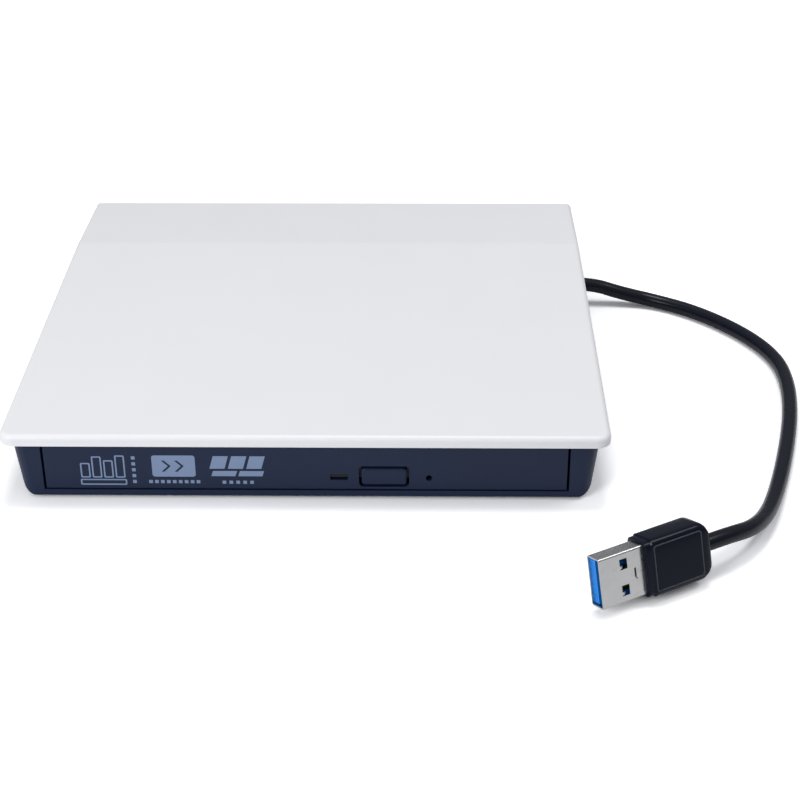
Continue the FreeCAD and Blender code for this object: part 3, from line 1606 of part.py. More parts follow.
def make_spindle_base():
    """Steel base of the spindle motor with its bronze-lined bush."""
    top, half = "frame_z + frame_plate", "spindle_plate_radius"
    plate = common(
        rod("0", "0", top, half, "spindle_plate"),
        block(f"-{half}", "sled_park", f"-{half}", half, top, f"{top} + spindle_plate"))
    bush = rod("0", "0", "frame_z + bush_lift", "bush_radius - bush_fit",
               "stator_z + stator_height + bush_rise - frame_z")
    bore = rod("0", "0", "frame_z + bush_bore_lift", "shaft_radius + shaft_play", "drive_height")
    keep("spindle_base", on_frame(cut(fuse(plate, bush), bore)))


def tooth_angles():
    """Turns of the stator's teeth about the spindle."""
    count = int(value("stator_teeth"))
    return [index * 360 / count for index in range(count)]


def spoke(x0, x1, half, z0, z1, angle):
    """A bar that points away from the spindle at an angle."""
    return move(group(block(x0, x1, f"-({half})", half, z0, z1)), turn=str(angle))


def make_stator():
    """Laminated stator: a core with teeth that end in pole shoes."""
    low, high = "stator_z - past", "stator_z + stator_height"
    through = "stator_height + 2 * past"
    core = rod("0", "0", "stator_z", "bush_radius + core_wall", "stator_height")
    shoes = cut(rod("0", "0", "stator_z", "stator_radius", "stator_height"),
                rod("0", "0", low, "stator_radius - shoe_depth", through))
    teeth = [spoke("bush_radius + tooth_root", "stator_radius - tooth_end", "tooth_half",
                   "stator_z", high, angle) for angle in tooth_angles()]
    step = 180 / len(tooth_angles())
    gaps = [spoke("stator_radius - gap_depth", "stator_radius + past", "gap_half",
                  low, f"{high} + past", angle + step) for angle in tooth_angles()]
    bore = rod("0", "0", low, "bush_radius", through)
    keep("spindle_stator", on_frame(cut(fuse(core, shoes, *teeth), bore, *gaps)))


def make_coils():
    """Copper windings, one round each tooth."""
    coils = []
    for angle in tooth_angles():
        outer = block("bush_radius + coil_inner", "stator_radius - coil_outer", "-coil_half", "coil_half",
                      "stator_z - coil_swell", "stator_z + stator_height + coil_swell")
        inner = block("bush_radius + tooth_root", "stator_radius", "-coil_bore_half", "coil_bore_half",
                      "stator_z - coil_fit", "stator_z + stator_height + coil_fit")
        coils.append(move(cut(outer, inner), turn=str(angle)))
    keep("stator_coils", on_frame(group(*coils)))


def turn_profile(shell, profile):
    """Turn an outline a whole round about the upright axis."""
    feature = shell.body.newObject("PartDesign::Revolution", "turned")
    feature.Profile = profile
    feature.ReferenceAxis = (profile, ["V_Axis"])
    feature.Angle = 360


def make_rotor():
    """Rotor: cup, shaft, turntable flange and hub with three claw slots."""
    shell = Shell("spindle_rotor")
    turn_profile(shell, shell.sketch("y", "0", outline(
        ("0", "frame_z + shaft_lift"), ("shaft_radius", "frame_z + shaft_lift"),
        ("shaft_radius", "turntable_z - rotor_wall"),
        ("rotor_radius - rotor_wall", "turntable_z - rotor_wall"),
        ("rotor_radius - rotor_wall", "rotor_z"), ("rotor_radius", "rotor_z"),
        ("rotor_radius", "turntable_z"), ("turntable_radius", "turntable_z"),
        ("turntable_radius", "grip_z"), ("hub_radius", "grip_z"),
        ("hub_radius", "hub_top - hub_chamfer"), ("hub_radius - hub_chamfer", "hub_top"),
        ("0", "hub_top"))))
    width = "claw_width / 2 + claw_play"
    for angle in CLAW_ANGLES:
        sin, cos = f"sin({angle})", f"cos({angle})"
        corners = (("claw_root", f"-({width})"), ("hub_radius + past", f"-({width})"),
                   ("hub_radius + past", width), ("claw_root", width))
        shell.pocket("z", "hub_top - claw_height - claw_play", "hub_top + past", outline(
            *[(f"({x}) * {cos} - ({y}) * {sin}", f"({x}) * {sin} + ({y}) * {cos}")
              for x, y in corners]))
    on_frame(shell.body)
    shell.done()


def make_magnet():
    """Ring magnet inside the rotor's cup."""
    outer = "rotor_radius - rotor_wall"
    height = "turntable_z - rotor_wall - rotor_z - magnet_gap"
    keep("rotor_magnet", on_frame(cut(
        rod("0", "0", "rotor_z + magnet_lift", outer, height),
        rod("0", "0", "rotor_z - past", f"{outer} - magnet_wall", "drive_height"))))


def make_grip():
    """Rubber ring on the turntable that the disc rests on."""
    outer = "turntable_radius - grip_inset"
    keep("turntable_grip", on_frame(cut(
        rod("0", "0", "grip_z", outer, "grip_thickness"),
        rod("0", "0", "grip_z - past", f"{outer} - grip_width", "grip_thickness + 2 * past"))))


def make_claws():
    """Three spring claws that hold the disc by its hole."""
    low = "hub_top - claw_height"
    tail, tip = "claw_root + claw_travel + claw_tail_gap", "hub_radius + claw_reach"
    for index, angle in enumerate(CLAW_ANGLES, start=1):
        bar = block(tail, tip, "-claw_width / 2", "claw_width / 2", low, "hub_top - claw_sink")
        nose = move(block("0", "2 * past", "-claw_width", "claw_width", "-past", "past"),
                    turn="45", axis=(0, 1, 0))
        bevel = move(group(nose), x=f"{tip} - claw_bevel", z="hub_top + claw_bevel_rise")
        bore = rod(f"{tail} - past", "0", f"{low} + claw_bore_lift", "claw_bore_radius",
                   "claw_bore_length + past", "x")
        moved = move(group(cut(bar, bevel, bore)), turn=str(angle))
        keep(f"clamp_claw_{index}", on_frame(group(moved)))


def make_claw_springs():
    """Short coil springs behind the claws, drawn as sleeves."""
    springs = []
    low = "hub_top - claw_height + claw_bore_lift"
    for angle in CLAW_ANGLES:
        sleeve = cut(
            rod("claw_root", "0", low, "spring_radius", "spring_length", "x"),
            rod("claw_root - past", "0", low, "spring_bore", "spring_length + 2 * past", "x"))
        springs.append(move(sleeve, turn=str(angle)))
    keep("claw_springs", on_frame(group(*springs)))


def make_sled_motor():
    """Stepper motor that turns the lead screw."""
    start, low = "frame_window - motor_length - motor_gap", "frame_z + frame_plate"
    wall = "frame_motor_side - frame_beam - motor_play"
    can = rod(start, "screw_side", "motor_z", "motor_radius", "motor_length", "x")
    flange = block(f"{start} + motor_length", f"{start} + motor_length + motor_flange",
                   "screw_side - motor_radius", wall, low, "rod_z + motor_flange_rise")
    room = block(f"{start} - past", "lens_inner", "screw_side - motor_radius - past", wall,
                 low, "window_z - motor_cover_gap")
    bore = rod(f"{start} + motor_bore_start", "screw_side", "rod_z",
               "lead_screw_radius / 2 + shaft_play", "motor_length", "x")
    keep("sled_motor", on_frame(cut(common(fuse(can, flange), room), bore)))


def make_lead_screw():
    """Lead screw with thin journals at both ends."""
    start = "frame_window - lead_screw_start"
    body = rod(start, "screw_side", "rod_z", "lead_screw_radius",
               f"lead_screw_reach - lead_screw_end - ({start})", "x")
    journal = rod(f"{start} - journal_length", "screw_side", "rod_z", "lead_screw_radius / 2",
                  f"lead_screw_reach + lead_screw_end + journal_length - ({start})", "x")
    keep("lead_screw", on_frame(fuse(body, journal)))


def make_sled():
    """Sled: a die-cast body with a bearing on each rod."""
    shell = Shell("pickup_sled")
    lens = "lens_inner"
    back, nose = f"{lens} - sled_back", f"{lens} + sled_nose"
    shoulder = f"{lens} + sled_shoulder"
    half, tip = "sled_half_width", "sled_nose_half"
    end = f"{lens} - bearing_inset"
    start = f"{end} - bearing_length"
    shell.pad("z", "sled_bottom", "sled_top", outline(
        (back, f"-{half}"), (shoulder, f"-{half}"), (nose, f"-{tip}"),
        (nose, tip), (shoulder, half), (back, half)))
    sides = [f"{side} * rod_side" for side in (-1, 1)]
    for side, v in zip((-1, 1), sides):
        arm = sorted((f"{side} * (sled_half_width - arm_root)", v), key=value)
        shell.pad("z", "rod_z - arm_half", "rod_z + arm_half", rectangle(back, end, *arm))
        shell.pad("x", start, end, ring(v, "rod_z", "bearing_radius"))
    for v in sides:
        shell.pocket("x", f"{start} - past", f"{end} + past",
                     ring(v, "rod_z", "rod_radius + shaft_play"))
    shell.pocket("z", "holder_bottom - holder_clear", "sled_top + past", rectangle(
        f"{lens} - actuator_half", f"{lens} + actuator_half",
        "-actuator_side", "actuator_side", "actuator_corner"))
    shell.pocket("z", "sled_bottom - past", "sled_top + past", ring(lens, "0", "lens_radius - beam_inset"))
    on_frame(shell.body)
    shell.done()


def make_follower():
    """Spring fork on the sled that rides in the lead screw's thread."""
    end, side = "lens_inner - follower_back", "rod_side + bearing_radius"
    start, middle = f"{end} - fork_length", f"{end} - fork_length / 2"
    low = "rod_z - follower_drop"
    arm = block(start, end, side, "screw_side + follower_reach", low, f"{low} + follower_sheet")
    root = block(start, end, side, f"{side} + follower_sheet", low, "rod_z + follower_rise")
    tooth = block(f"{middle} - tooth_length / 2", f"{middle} + tooth_length / 2",
                  "screw_side - tooth_length", "screw_side + tooth_length",
                  "rod_z - tooth_drop", "rod_z - lead_screw_radius - tooth_gap")
    keep("screw_follower", on_frame(fuse(arm, root, tooth)))


def make_laser_parts():
    """Laser can and detector on the sled's edges."""
    lens, top = "lens_inner", "sled_top"
    can = rod(f"{lens} - laser_back", "sled_half_width - laser_side", top, "laser_radius", "laser_height")
    chip = block(f"{lens} - detector_back", f"{lens} - detector_front",
                 "-sled_half_width + detector_near", "-sled_half_width + detector_far",
                 top, f"{top} + laser_height")
    keep("laser_parts", on_frame(group(can, chip)))


def make_magnets():
    """Two bar magnets with steel yokes beside the lens holder."""
    magnets, yokes = [], []
    low, high = "holder_bottom - holder_clear", "sled_top + focus_rise"
    for side in (-1, 1):
        near_face = f"lens_inner + {side} * (holder_width / 2 + focus_gap)"
        joint = f"{near_face} + {side} * focus_magnet"
        far_face = f"{joint} + {side} * focus_yoke"
        inner, outer = sorted((near_face, joint), key=value), sorted((joint, far_face), key=value)
        magnets.append(block(*inner, "-focus_magnet_half", "focus_magnet_half", low, high))
        yokes.append(block(*outer, "-focus_yoke_half", "focus_yoke_half", low, high))
    keep("focus_magnets", on_frame(group(*magnets, *yokes)))


def make_lens_holder():
    """Lens holder with its coil, hung on thin wires."""
    lens = "lens_inner"
    shell = Shell("lens_holder")
    shell.pad("z", "holder_bottom", "holder_top", rectangle(
        f"{lens} - holder_width / 2", f"{lens} + holder_width / 2",
        "-holder_length / 2", "holder_length / 2", "holder_corner"))
    shell.pocket("z", "holder_bottom - past", "holder_top + past",
                 ring(lens, "0", "lens_radius - lens_seat"))
    shell.pocket("z", "lens_z", "holder_top + past", ring(lens, "0", "lens_radius"))
    on_frame(shell.body)
    shell.done()


def make_lens():
    """Objective lens: a small disc with a domed crown."""
    shell = Shell("objective_lens")
    edge = "lens_radius - lens_play"
    turn_profile(shell, shell.sketch("y", "0", outline(
        ("0", "lens_z"), (edge, "lens_z"), (edge, "holder_top - lens_sink"),
        ("lens_radius * crown_outer", "holder_top + crown_outer_rise"),
        ("lens_radius * crown_inner", "holder_top + crown_inner_rise"),
        ("0", "holder_top + crown_rise"))))
    x, y = turned("lens_inner", "0")
    move(shell.body, x, y)
    shell.done()


# Latch and ejector

def make_latch_pin():
    """Stud on the pan that the latch holds."""
    keep("latch_pin", rod("pin_x", "pin_y", "pan_floor", "pin_radius", "pin_height"))


def make_latch_lever():
    """Hooked lever that turns away from the stud to free the tray."""
    reach = "sqrt((latch_x - pin_x) ^ 2 + (latch_y - pin_y) ^ 2) - pin_radius - latch_gap"
    low, top = "latch_z", "latch_z + latch_thickness"
    through = "latch_thickness + 2 * past"
    sector = cut(
        rod("latch_x", "latch_y", low, reach, "latch_thickness"),
        rod("latch_x", "latch_y", f"{low} - past", f"{reach} - hook_width", through))
    hook = common(sector, block("pin_x - pin_radius + hook_inset", "latch_x + latch_width",
                                "pin_y", "pin_y + hook_length", low, top))
    arm = block("latch_x", "latch_x + latch_width", f"latch_y - ({reach}) + arm_inset", "latch_y",
                low, top)
    eye = rod("latch_x", "latch_y", low, "latch_width", "latch_thickness")
    tail = block("latch_x", "latch_x + latch_tail", "latch_y - latch_width / 2",
                 "latch_y + latch_width / 2", low, top)
    bore = rod("latch_x", "latch_y", f"{low} - past", "pivot_radius + pivot_play", through)
    keep("latch_lever", cut(fuse(hook, arm, eye, tail), bore))


def make_solenoid():
    """Release magnet: a coil between two steel cheeks."""
    x0, x1 = "latch_x + latch_tail - magnet_length", "latch_x + latch_tail"
    y1 = "latch_y - latch_width / 2 - release_gap"
    y0 = f"{y1} - magnet_depth"
    low = "tray_bottom"
    coil = rod(f"{x0} + cheek", f"({y0} + ({y1})) / 2", f"{low} + coil_lift", "release_coil_radius",
               f"{x1} - ({x0}) - 2 * cheek", "x")
    cheeks = [block(a, b, y0, y1, low, f"{low} + cheek_height")
              for a, b in ((x0, f"{x0} + cheek"), (f"{x1} - cheek", x1))]
    keep("release_magnet", fuse(coil, *cheeks))


def make_ejector():
    """Sprung plunger in the tray that pushes against the rear of the pan."""
    start = "tray_rear - plunger_length"
    pin = rod("plunger_x", start, "plunger_z", "plunger_radius",
              f"pan_rear - plunger_gap - ({start})", "y")
    collar = rod("plunger_x", "tray_rear - collar_inset", "plunger_z",
                 "plunger_radius + collar_rise", "collar_length", "y")
    keep("eject_plunger", fuse(pin, collar))


# Boards, connectors and leads behind the drive

def make_sata_plug():
    """Rear connector of the drive: a housing round two blades."""
    x0, x1 = "sata_x - sata_width / 2", "sata_x + sata_width / 2"
    z0, z1 = "sata_z - sata_height / 2", "sata_z + sata_height / 2"
    front, back = "drive_rear - sata_depth - sata_back", "drive_rear - sata_rear_gap"
    housing = block(f"{x0} - sata_wall", f"{x1} + sata_wall", front, back,
                    f"{z0} - sata_wall", f"{z1} + sata_wall")
    mouth = block(x0, x1, "drive_rear - sata_depth", f"{back} + past", z0, z1)
    blades = [
        block(low, high, f"{front} + root", f"{back} - blade_inset",
              "sata_z - blade_half", "sata_z + blade_half")
        for low, high in ((f"{x0} + blade_end", "sata_x - blade_left"),
                          ("sata_x - blade_right", f"{x1} - blade_end"))]
    keep("drive_connector", fuse(cut(housing, mouth), *blades))


def make_sata_board():
    """Narrow board inside the pan that the rear connector stands on."""
    top = "sata_z - sata_height / 2 - sata_wall"
    keep("connector_board", block(
        "sata_x - sata_width / 2 - rear_board_side", "ribbon_x + ribbon_width / 2 + rear_board_end",
        "drive_rear - sata_depth - rear_board_front", "pan_rear - rear_board_gap",
        f"{top} - rear_board_thickness", top))


def make_sata_socket():
    """Socket of the bridge board, pushed into the drive's connector."""
    x0, x1 = "sata_x - sata_width / 2 + sata_play", "sata_x + sata_width / 2 - sata_play"
    z0, z1 = "sata_z - sata_height / 2 + sata_play", "sata_z + sata_height / 2 - sata_play"
    front, back = "drive_rear - sata_depth", "bridge_y + socket_depth"
    nose = block(x0, x1, f"{front} + socket_gap", back, z0, z1)
    slots = [
        block(low, high, f"{front} - past", "drive_rear + socket_slot_end",
              "sata_z - socket_slot_half", "sata_z + socket_slot_half")
        for low, high in ((f"{x0} + socket_wall", "sata_x - socket_left"),
                          ("sata_x - socket_right", f"{x1} - socket_wall"))]
    foot = block("sata_x - sata_width / 2", "sata_x + sata_width / 2",
                 "bridge_y + socket_foot_inset", back, "bridge_top", z1)
    keep("bridge_socket", cut(fuse(nose, foot), *slots))


def make_bridge_board():
    """Bridge board between the drive and the cord."""
    keep("bridge_board", block("-bridge_left", "bridge_right", "bridge_y",
                               "bridge_y + bridge_depth", "bridge_z", "bridge_top"))


def make_bridge_parts():
    """Controller chip, crystal, regulator and small parts on the bridge board."""
    top = "bridge_top"
    row = [(f"-bridge_row_x - {index} * bridge_row_pitch", "bridge_y + bridge_row_y")
           for index in range(int(value("bridge_row_count")))]
    keep("bridge_parts", group(*chips(BRIDGE_CHIPS, top, up=True), *small_parts(row, top, up=True)))


def make_ribbon():
    """Flat ribbon from the rear board, folded back under the tray."""
    thick, fold = value("ribbon_thickness"), value("ribbon_fold_y")
    low = value("pan_floor")
    high = value("tray_bottom - tray_plate - ribbon_gap")
    radius = (high - low) / 2
    rear = value("drive_rear - sata_depth - ribbon_start")
    end = value("tray_rear - ribbon_end")
    centre_z = (low + high) / 2

    def side_view(inset):
        """Half of the folded outline, a given distance inside the outer face."""
        y0, z0, z1 = fold, low + inset, high - inset
        r = radius - inset
        return (
            FreeCAD.Vector(0, rear, z0), FreeCAD.Vector(0, y0, z0),
            FreeCAD.Vector(0, y0 - r, centre_z), FreeCAD.Vector(0, y0, z1),
            FreeCAD.Vector(0, end, z1),
        )

    outer, inner = side_view(0), side_view(thick)
    edges = [
        Part.LineSegment(outer[0], outer[1]).toShape(),
        Part.Arc(outer[1], outer[2], outer[3]).toShape(),
        Part.LineSegment(outer[3], outer[4]).toShape(),
        Part.LineSegment(outer[4], inner[4]).toShape(),
        Part.LineSegment(inner[4], inner[3]).toShape(),
        Part.Arc(inner[3], inner[2], inner[1]).toShape(),
        Part.LineSegment(inner[1], inner[0]).toShape(),
        Part.LineSegment(inner[0], outer[0]).toShape(),
    ]
    face = Part.Face(Part.Wire(edges))
    solid = face.extrude(FreeCAD.Vector(value("ribbon_width"), 0, 0))
    item = doc.addObject("Part::Feature", "tray_ribbon")
    item.Shape = solid
    move(item, x="ribbon_x - ribbon_width / 2")
    keep("tray_ribbon", item)


def make_pickup_flex():
    """Flat flex from the sled to the tray's board, under the window cover."""
    strip = block("lens_inner - flex_width / 2", "lens_inner + flex_width / 2", "-sled_half_width",
                  "sled_half_width - flex_end", "sled_bottom - flex_thickness", "sled_bottom")
    keep("pickup_flex", on_frame(group(strip)))


# Cord, grommet and plug

def cord_points():
    """Route of the cord: out of the case, down to the surface and round to the plug."""
    radius = value("cord_diameter") / 2
    exit_place = FreeCAD.Vector(value("cord_start"), value("exit_y"), value("exit_z"))
    lead = FreeCAD.Vector(value("route_lead"), 0, 0)
    run = [
        FreeCAD.Vector(exit_place.x + value(f"route_x_{index}"),
                       exit_place.y + value(f"route_y_{index}"),
                       radius + value(f"route_rise_{index}"))
        for index in range(1, ROUTE_POINTS + 1)]
    plug = plug_point(value("plug_length"))
    tail = plug + plug_way() * value("route_tail")
    return [exit_place, exit_place + lead, *run, tail, plug]


def plug_turning():
    """Turn of the plug: about Z, then about its own length."""
    return (FreeCAD.Rotation(FreeCAD.Vector(0, 0, 1), value("plug_turn"))
            * FreeCAD.Rotation(FreeCAD.Vector(1, 0, 0), 90 + value("plug_lean")))


def plug_way():
    """Direction from the plug's tip to its cord."""
    return plug_turning().multVec(FreeCAD.Vector(1, 0, 0))


def plug_point(along):
    """A point on the plug's middle line."""
    root = FreeCAD.Vector(value("plug_x"), value("plug_y"), value("plug_z"))
    return root + plug_way() * along


def place_plug(item):
    """Set a piece of the plug where the plug lies."""
    item.Placement = FreeCAD.Placement(FreeCAD.Vector(0, 0, 0), plug_turning())
    return move(item, "plug_x", "plug_y", "plug_z")


def make_cord():
    """Cord: a tube along straight runs joined by tangent arcs."""
    points = cord_points()
    edges = []
    here = points[0]
    length = 0
    radii = []
    for index in range(1, len(points) - 1):
        before, corner, after = points[index - 1:index + 2]
        back, ahead = before - corner, after - corner
        shorter = min(back.Length, ahead.Length)
        back.normalize()
        ahead.normalize()
        turn = math.pi - back.getAngle(ahead)
        trim = BEND_SHARE * shorter
        radius = trim / math.tan(turn / 2)
        radii.append(round(radius, 1))
        first, last = corner + back * trim, corner + ahead * trim
        towards = (back + ahead).normalize()
        centre = corner + towards * (radius / math.cos(turn / 2))
        middle = centre - towards * radius
        edges.append(Part.LineSegment(here, first).toShape())
        edges.append(Part.Arc(first, middle, last).toShape())
        length += (first - here).Length + radius * turn
        here = last
    edges.append(Part.LineSegment(here, points[-1]).toShape())
    length += (points[-1] - here).Length
    path = Part.Wire(edges)
    radius = value("cord_diameter") / 2
    start_way = points[1] - points[0]
    circle = Part.Wire(Part.Circle(points[0], start_way, radius).toShape())
    tube = path.makePipeShell([circle], True, False)
    ideal = math.pi * radius ** 2 * length
    print("cord radii", radii, "length", round(length, 1), "volume ratio",
          round(tube.Volume / ideal, 4))
    item = doc.addObject("Part::Feature", "usb_cord")
    item.Shape = tube
    keep("usb_cord", item)


def make_grommet():
    """Rubber grommet in the side wall of the base, round the cord."""
    inner = "grommet_x - case_wall"
    body = rod(f"{inner} - grommet_root", "exit_y", "exit_z", "grommet_radius - grommet_fit",
               "case_wall + grommet_root + grommet_flange", "x")
    lip = rod(f"{inner} - grommet_lip_back", "exit_y", "exit_z", "grommet_radius + grommet_lip",
              "grommet_lip_length", "x")
    keep("cord_grommet", fuse(body, lip))


def make_leads():
    """Thin leads from the grommet to the bridge board."""
    heights = [f"exit_z + ({index} - (lead_count - 1) / 2) * lead_pitch"
               for index in range(int(value("lead_count")))]
    keep("cord_leads", group(*[
        rod("grommet_x - case_wall - lead_inset", "exit_y", z, "lead_diameter / 2",
            "bridge_y + lead_end - exit_y", "y") for z in heights]))


def make_plug_body():
    """Moulded grip of the plug."""
    shell = Shell("plug_overmould")
    half, tall = "plug_width / 2", "plug_thickness / 2"
    shell.pad("z", f"-{tall}", tall, outline(
        ("0", f"-{half}", "plug_edge"), ("plug_length", f"-{half}", "plug_corner"),
        ("plug_length", half, "plug_corner"), ("0", half, "plug_edge")))
    flat = value(tall)
    shell.fillet("plug_edge", lambda box: near(box.ZMin, box.ZMax) and near(abs(box.ZMin), flat))
    shell.pocket("x", "-past", "shell_root", rectangle(
        "-shell_width / 2", "shell_width / 2", "-shell_height / 2", "shell_height / 2",
        "shell_corner"))
    place_plug(shell.body)
    shell.done()


def make_plug_shell():
    """Folded steel shell of the plug with its two square windows on both faces."""
    shell = Shell("plug_shell")
    wide, tall = "shell_width / 2", "shell_height / 2"
    inner_wide, inner_tall = f"{wide} - shell_wall", f"{tall} - shell_wall"
    shell.pad("x", "-shell_length", "shell_root", rectangle(
        f"-{wide}", wide, f"-{tall}", tall, "shell_corner"))
    shell.pocket("x", "-shell_length - past", "shell_root + past", rectangle(
        f"-({inner_wide})", inner_wide, f"-({inner_tall})", inner_tall, "shell_inner_corner"))
    front = "-shell_length + square_front"
    for side in (-1, 1):
        v = f"{side} * shell_width * square_side"
        shell.pocket("z", f"-{tall} - past", f"{tall} + past", rectangle(
            front, f"{front} + square_length", f"{v} - square_width / 2", f"{v} + square_width / 2"))
    place_plug(shell.body)
    shell.done()


def make_tongue():
    """Insulating tongue that carries the contacts."""
    inner, side = "shell_height / 2 - shell_wall", "tongue_width / 2"
    tongue = block("-shell_length + tongue_recess", "0", f"-{side}", side,
                   f"-({inner})", f"-({inner}) + tongue_thickness")
    core = block("-tongue_core", "shell_root - tongue_root_gap", f"-{side}", side, f"-({inner})", inner)
    keep("plug_tongue", place_plug(fuse(tongue, core)))


def contact_row(name, front, low, high):
    """Contacts side by side, with the count, pitch and width that the sheet gives for their kind."""
    row = []
    for index in range(int(value(f"{name}_count"))):
        v = f"({index} - ({name}_count - 1) / 2) * {name}_pitch"
        row.append(block(front, "-contact_rear", f"{v} - {name}_width / 2", f"{v} + {name}_width / 2",
                         low, high))
    return row


def make_contacts():
    """Gold contacts on the tongue: four flat ones in front and five raised ones behind."""
    face = "shell_wall - shell_height / 2 + tongue_thickness"
    flat = contact_row("flat_contact", "-shell_length + flat_contact_front",
                       face, f"{face} + flat_contact_height")
    raised = contact_row("raised_contact", "-raised_contact_front",
                         f"{face} + raised_contact_low", f"{face} + raised_contact_high")
    keep("plug_contacts", place_plug(group(*flat, *raised)))


def check_all():
    """Stop if an object failed, a pocket cut nothing or a sub-part isn't sound."""
    for item in doc.Objects:
        if "Invalid" in item.State or "Error" in item.State:
            owner = item.getParentGeoFeatureGroup()
            place = owner.Label if owner else "the document"
            raise RuntimeError(f"{item.Name} in {place} failed: {item.State}")
        if item.TypeId == "PartDesign::Pocket":
            removed = item.BaseFeature.Shape.Volume - item.Shape.Volume
            if removed < TOLERANCE:
                body = item.getParentGeoFeatureGroup().Label
                raise RuntimeError(f"{item.Name} in {body} cuts nothing")
    for label, item in pieces.items():
        shape = item.Shape
        if shape.isNull() or not shape.isValid() or not shape.Solids:
            raise RuntimeError(f"{label} is not a sound solid")


def export_all():
    """Write each sub-part to its own file."""
    os.makedirs(PARTS_FOLDER, exist_ok=True)
    for label, item in pieces.items():
        item.Shape.exportStep(os.path.join(PARTS_FOLDER, f"{label}.step"))
    print(len(pieces), "sub-parts")


for make in (
    make_case, make_cover, make_feet, make_case_screws,
    make_pan, make_lid, make_drive_screws, make_guides, make_rails,
    make_tray, make_tray_plate, make_window_cover, make_bezel, make_button, make_led_lens,
    make_tray_board, make_front_board, make_board_parts, make_switch,
    make_frame, make_dampers, make_mount_screws, make_guide_rods,
    make_spindle_base, make_stator, make_coils, make_rotor, make_magnet, make_grip,
    make_claws, make_claw_springs, make_sled_motor, make_lead_screw,
    make_sled, make_follower, make_laser_parts, make_magnets, make_lens_holder, make_lens,
    make_latch_pin, make_latch_lever, make_solenoid, make_ejector,
    make_sata_plug, make_sata_board, make_sata_socket, make_bridge_board,
    make_bridge_parts, make_ribbon, make_pickup_flex,
    make_cord, make_grommet, make_leads,
    make_plug_body, make_plug_shell, make_tongue, make_contacts,
):
    make()
doc.recompute()
check_all()
export_all()
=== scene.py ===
"""Slim external disc drive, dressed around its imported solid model.

Lengths are written in millimetres in the row frame: X to the right seen from the tray front, Y to the back,
Z up from the surface that the feet stand on. Meshes hold metres.
"""

import logging
import math
from collections.abc import Sequence
from dataclasses import dataclass, field
from enum import Enum
from typing import ClassVar

import bpy
import numpy as np
from mathutils import Matrix, Vector


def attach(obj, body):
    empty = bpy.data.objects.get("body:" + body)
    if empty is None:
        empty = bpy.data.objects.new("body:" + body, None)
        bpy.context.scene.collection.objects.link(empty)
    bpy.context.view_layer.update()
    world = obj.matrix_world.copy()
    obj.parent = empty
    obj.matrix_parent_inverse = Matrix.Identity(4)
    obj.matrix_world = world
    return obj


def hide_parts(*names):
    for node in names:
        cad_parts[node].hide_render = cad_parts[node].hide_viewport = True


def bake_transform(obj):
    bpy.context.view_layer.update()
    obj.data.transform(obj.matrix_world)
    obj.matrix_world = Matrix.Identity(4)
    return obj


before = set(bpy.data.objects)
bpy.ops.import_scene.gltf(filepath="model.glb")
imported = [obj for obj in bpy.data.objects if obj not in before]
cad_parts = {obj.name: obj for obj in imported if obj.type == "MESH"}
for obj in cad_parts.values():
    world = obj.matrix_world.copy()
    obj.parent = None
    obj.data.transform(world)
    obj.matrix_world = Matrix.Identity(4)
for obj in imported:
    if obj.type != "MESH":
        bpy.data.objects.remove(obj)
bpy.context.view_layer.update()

MM = 0.001
FAR = math.inf
SHARP_DEGREES = 35.0  # Edges that turn more than this stay sharp.
WAVE_PERIOD = math.pi / 10  # From one band of a wave texture to the next at a scale of 1.
NOISE_SPAN = (0.3, 0.7)  # Nearly all of a noise lies between these.
ROUGH_SHARE = 0.37  # Size of the patches of even roughness, against the patches of even colour.
LOG = logging.getLogger("disc_drive")

Array = np.ndarray
Colour = tuple[float, float, float, float]
Point = tuple[float, float, float]
Pair = tuple[float, float]
Input = bpy.types.NodeSocket | float | int | tuple
Faces = list[list[int]]
Solid = tuple[Array, Faces]


def linear(code: str) -> Colour:
    """Turn an sRGB hex colour into linear values.

    Args:
        code: Six hex digits.

    Returns:
        Red, green, blue and an alpha of 1.
    """
    parts = np.array([int(code[place:place + 2], 16) for place in (0, 2, 4)]) / 255
    dark, light = parts / 12.92, ((parts + 0.055) / 1.055) ** 2.4
    red, green, blue = np.where(parts <= 0.04045, dark, light)
    return float(red), float(green), float(blue), 1.0


def turned(degrees: float, axis: str = "Z") -> Matrix:
    """Return the turn by an angle about one axis."""
    return Matrix.Rotation(math.radians(degrees), 4, axis)


def show(name: str, data: bpy.types.ID) -> bpy.types.Object:
    """Put a mesh, curve, lamp or camera into the scene and return its object."""
    shown = bpy.data.objects.new(name, data)
    bpy.context.scene.collection.objects.link(shown)
    return shown


def empty_tree(owner: bpy.types.Material | bpy.types.World) -> bpy.types.NodeTree:
    """Return the owner's node tree with nothing in it."""
    owner.use_nodes = True
    owner.node_tree.nodes.clear()
    return owner.node_tree


def add_node(tree: bpy.types.NodeTree, kind: str, inputs: dict[str | int, Input] | None = None,
             **settings: object) -> bpy.types.Node:
    """Add one shader node with its settings, its values and its links.

    Args:
        tree: Node tree that gets the node.
        kind: Blender's name of the node's type.
        inputs: For each input, by name or number, a value or the output that feeds it.
        settings: The node's own settings.

    Returns:
        The new node.
    """
    node = tree.nodes.new(kind)
    for name, setting in settings.items():
        setattr(node, name, setting)
    for name, source in (inputs or {}).items():
        if isinstance(source, bpy.types.NodeSocket):
            tree.links.new(source, node.inputs[name])
        else:
            node.inputs[name].default_value = source
    return node


class Lay(Enum):
    """Way in which a finish's fine pattern runs, as its stretch on X, Y and Z."""

    EVEN = (1.0, 1.0, 1.0)
    ALONG_X = (0.03, 1.0, 1.0)
    ALONG_Y = (1.0, 0.03, 1.0)


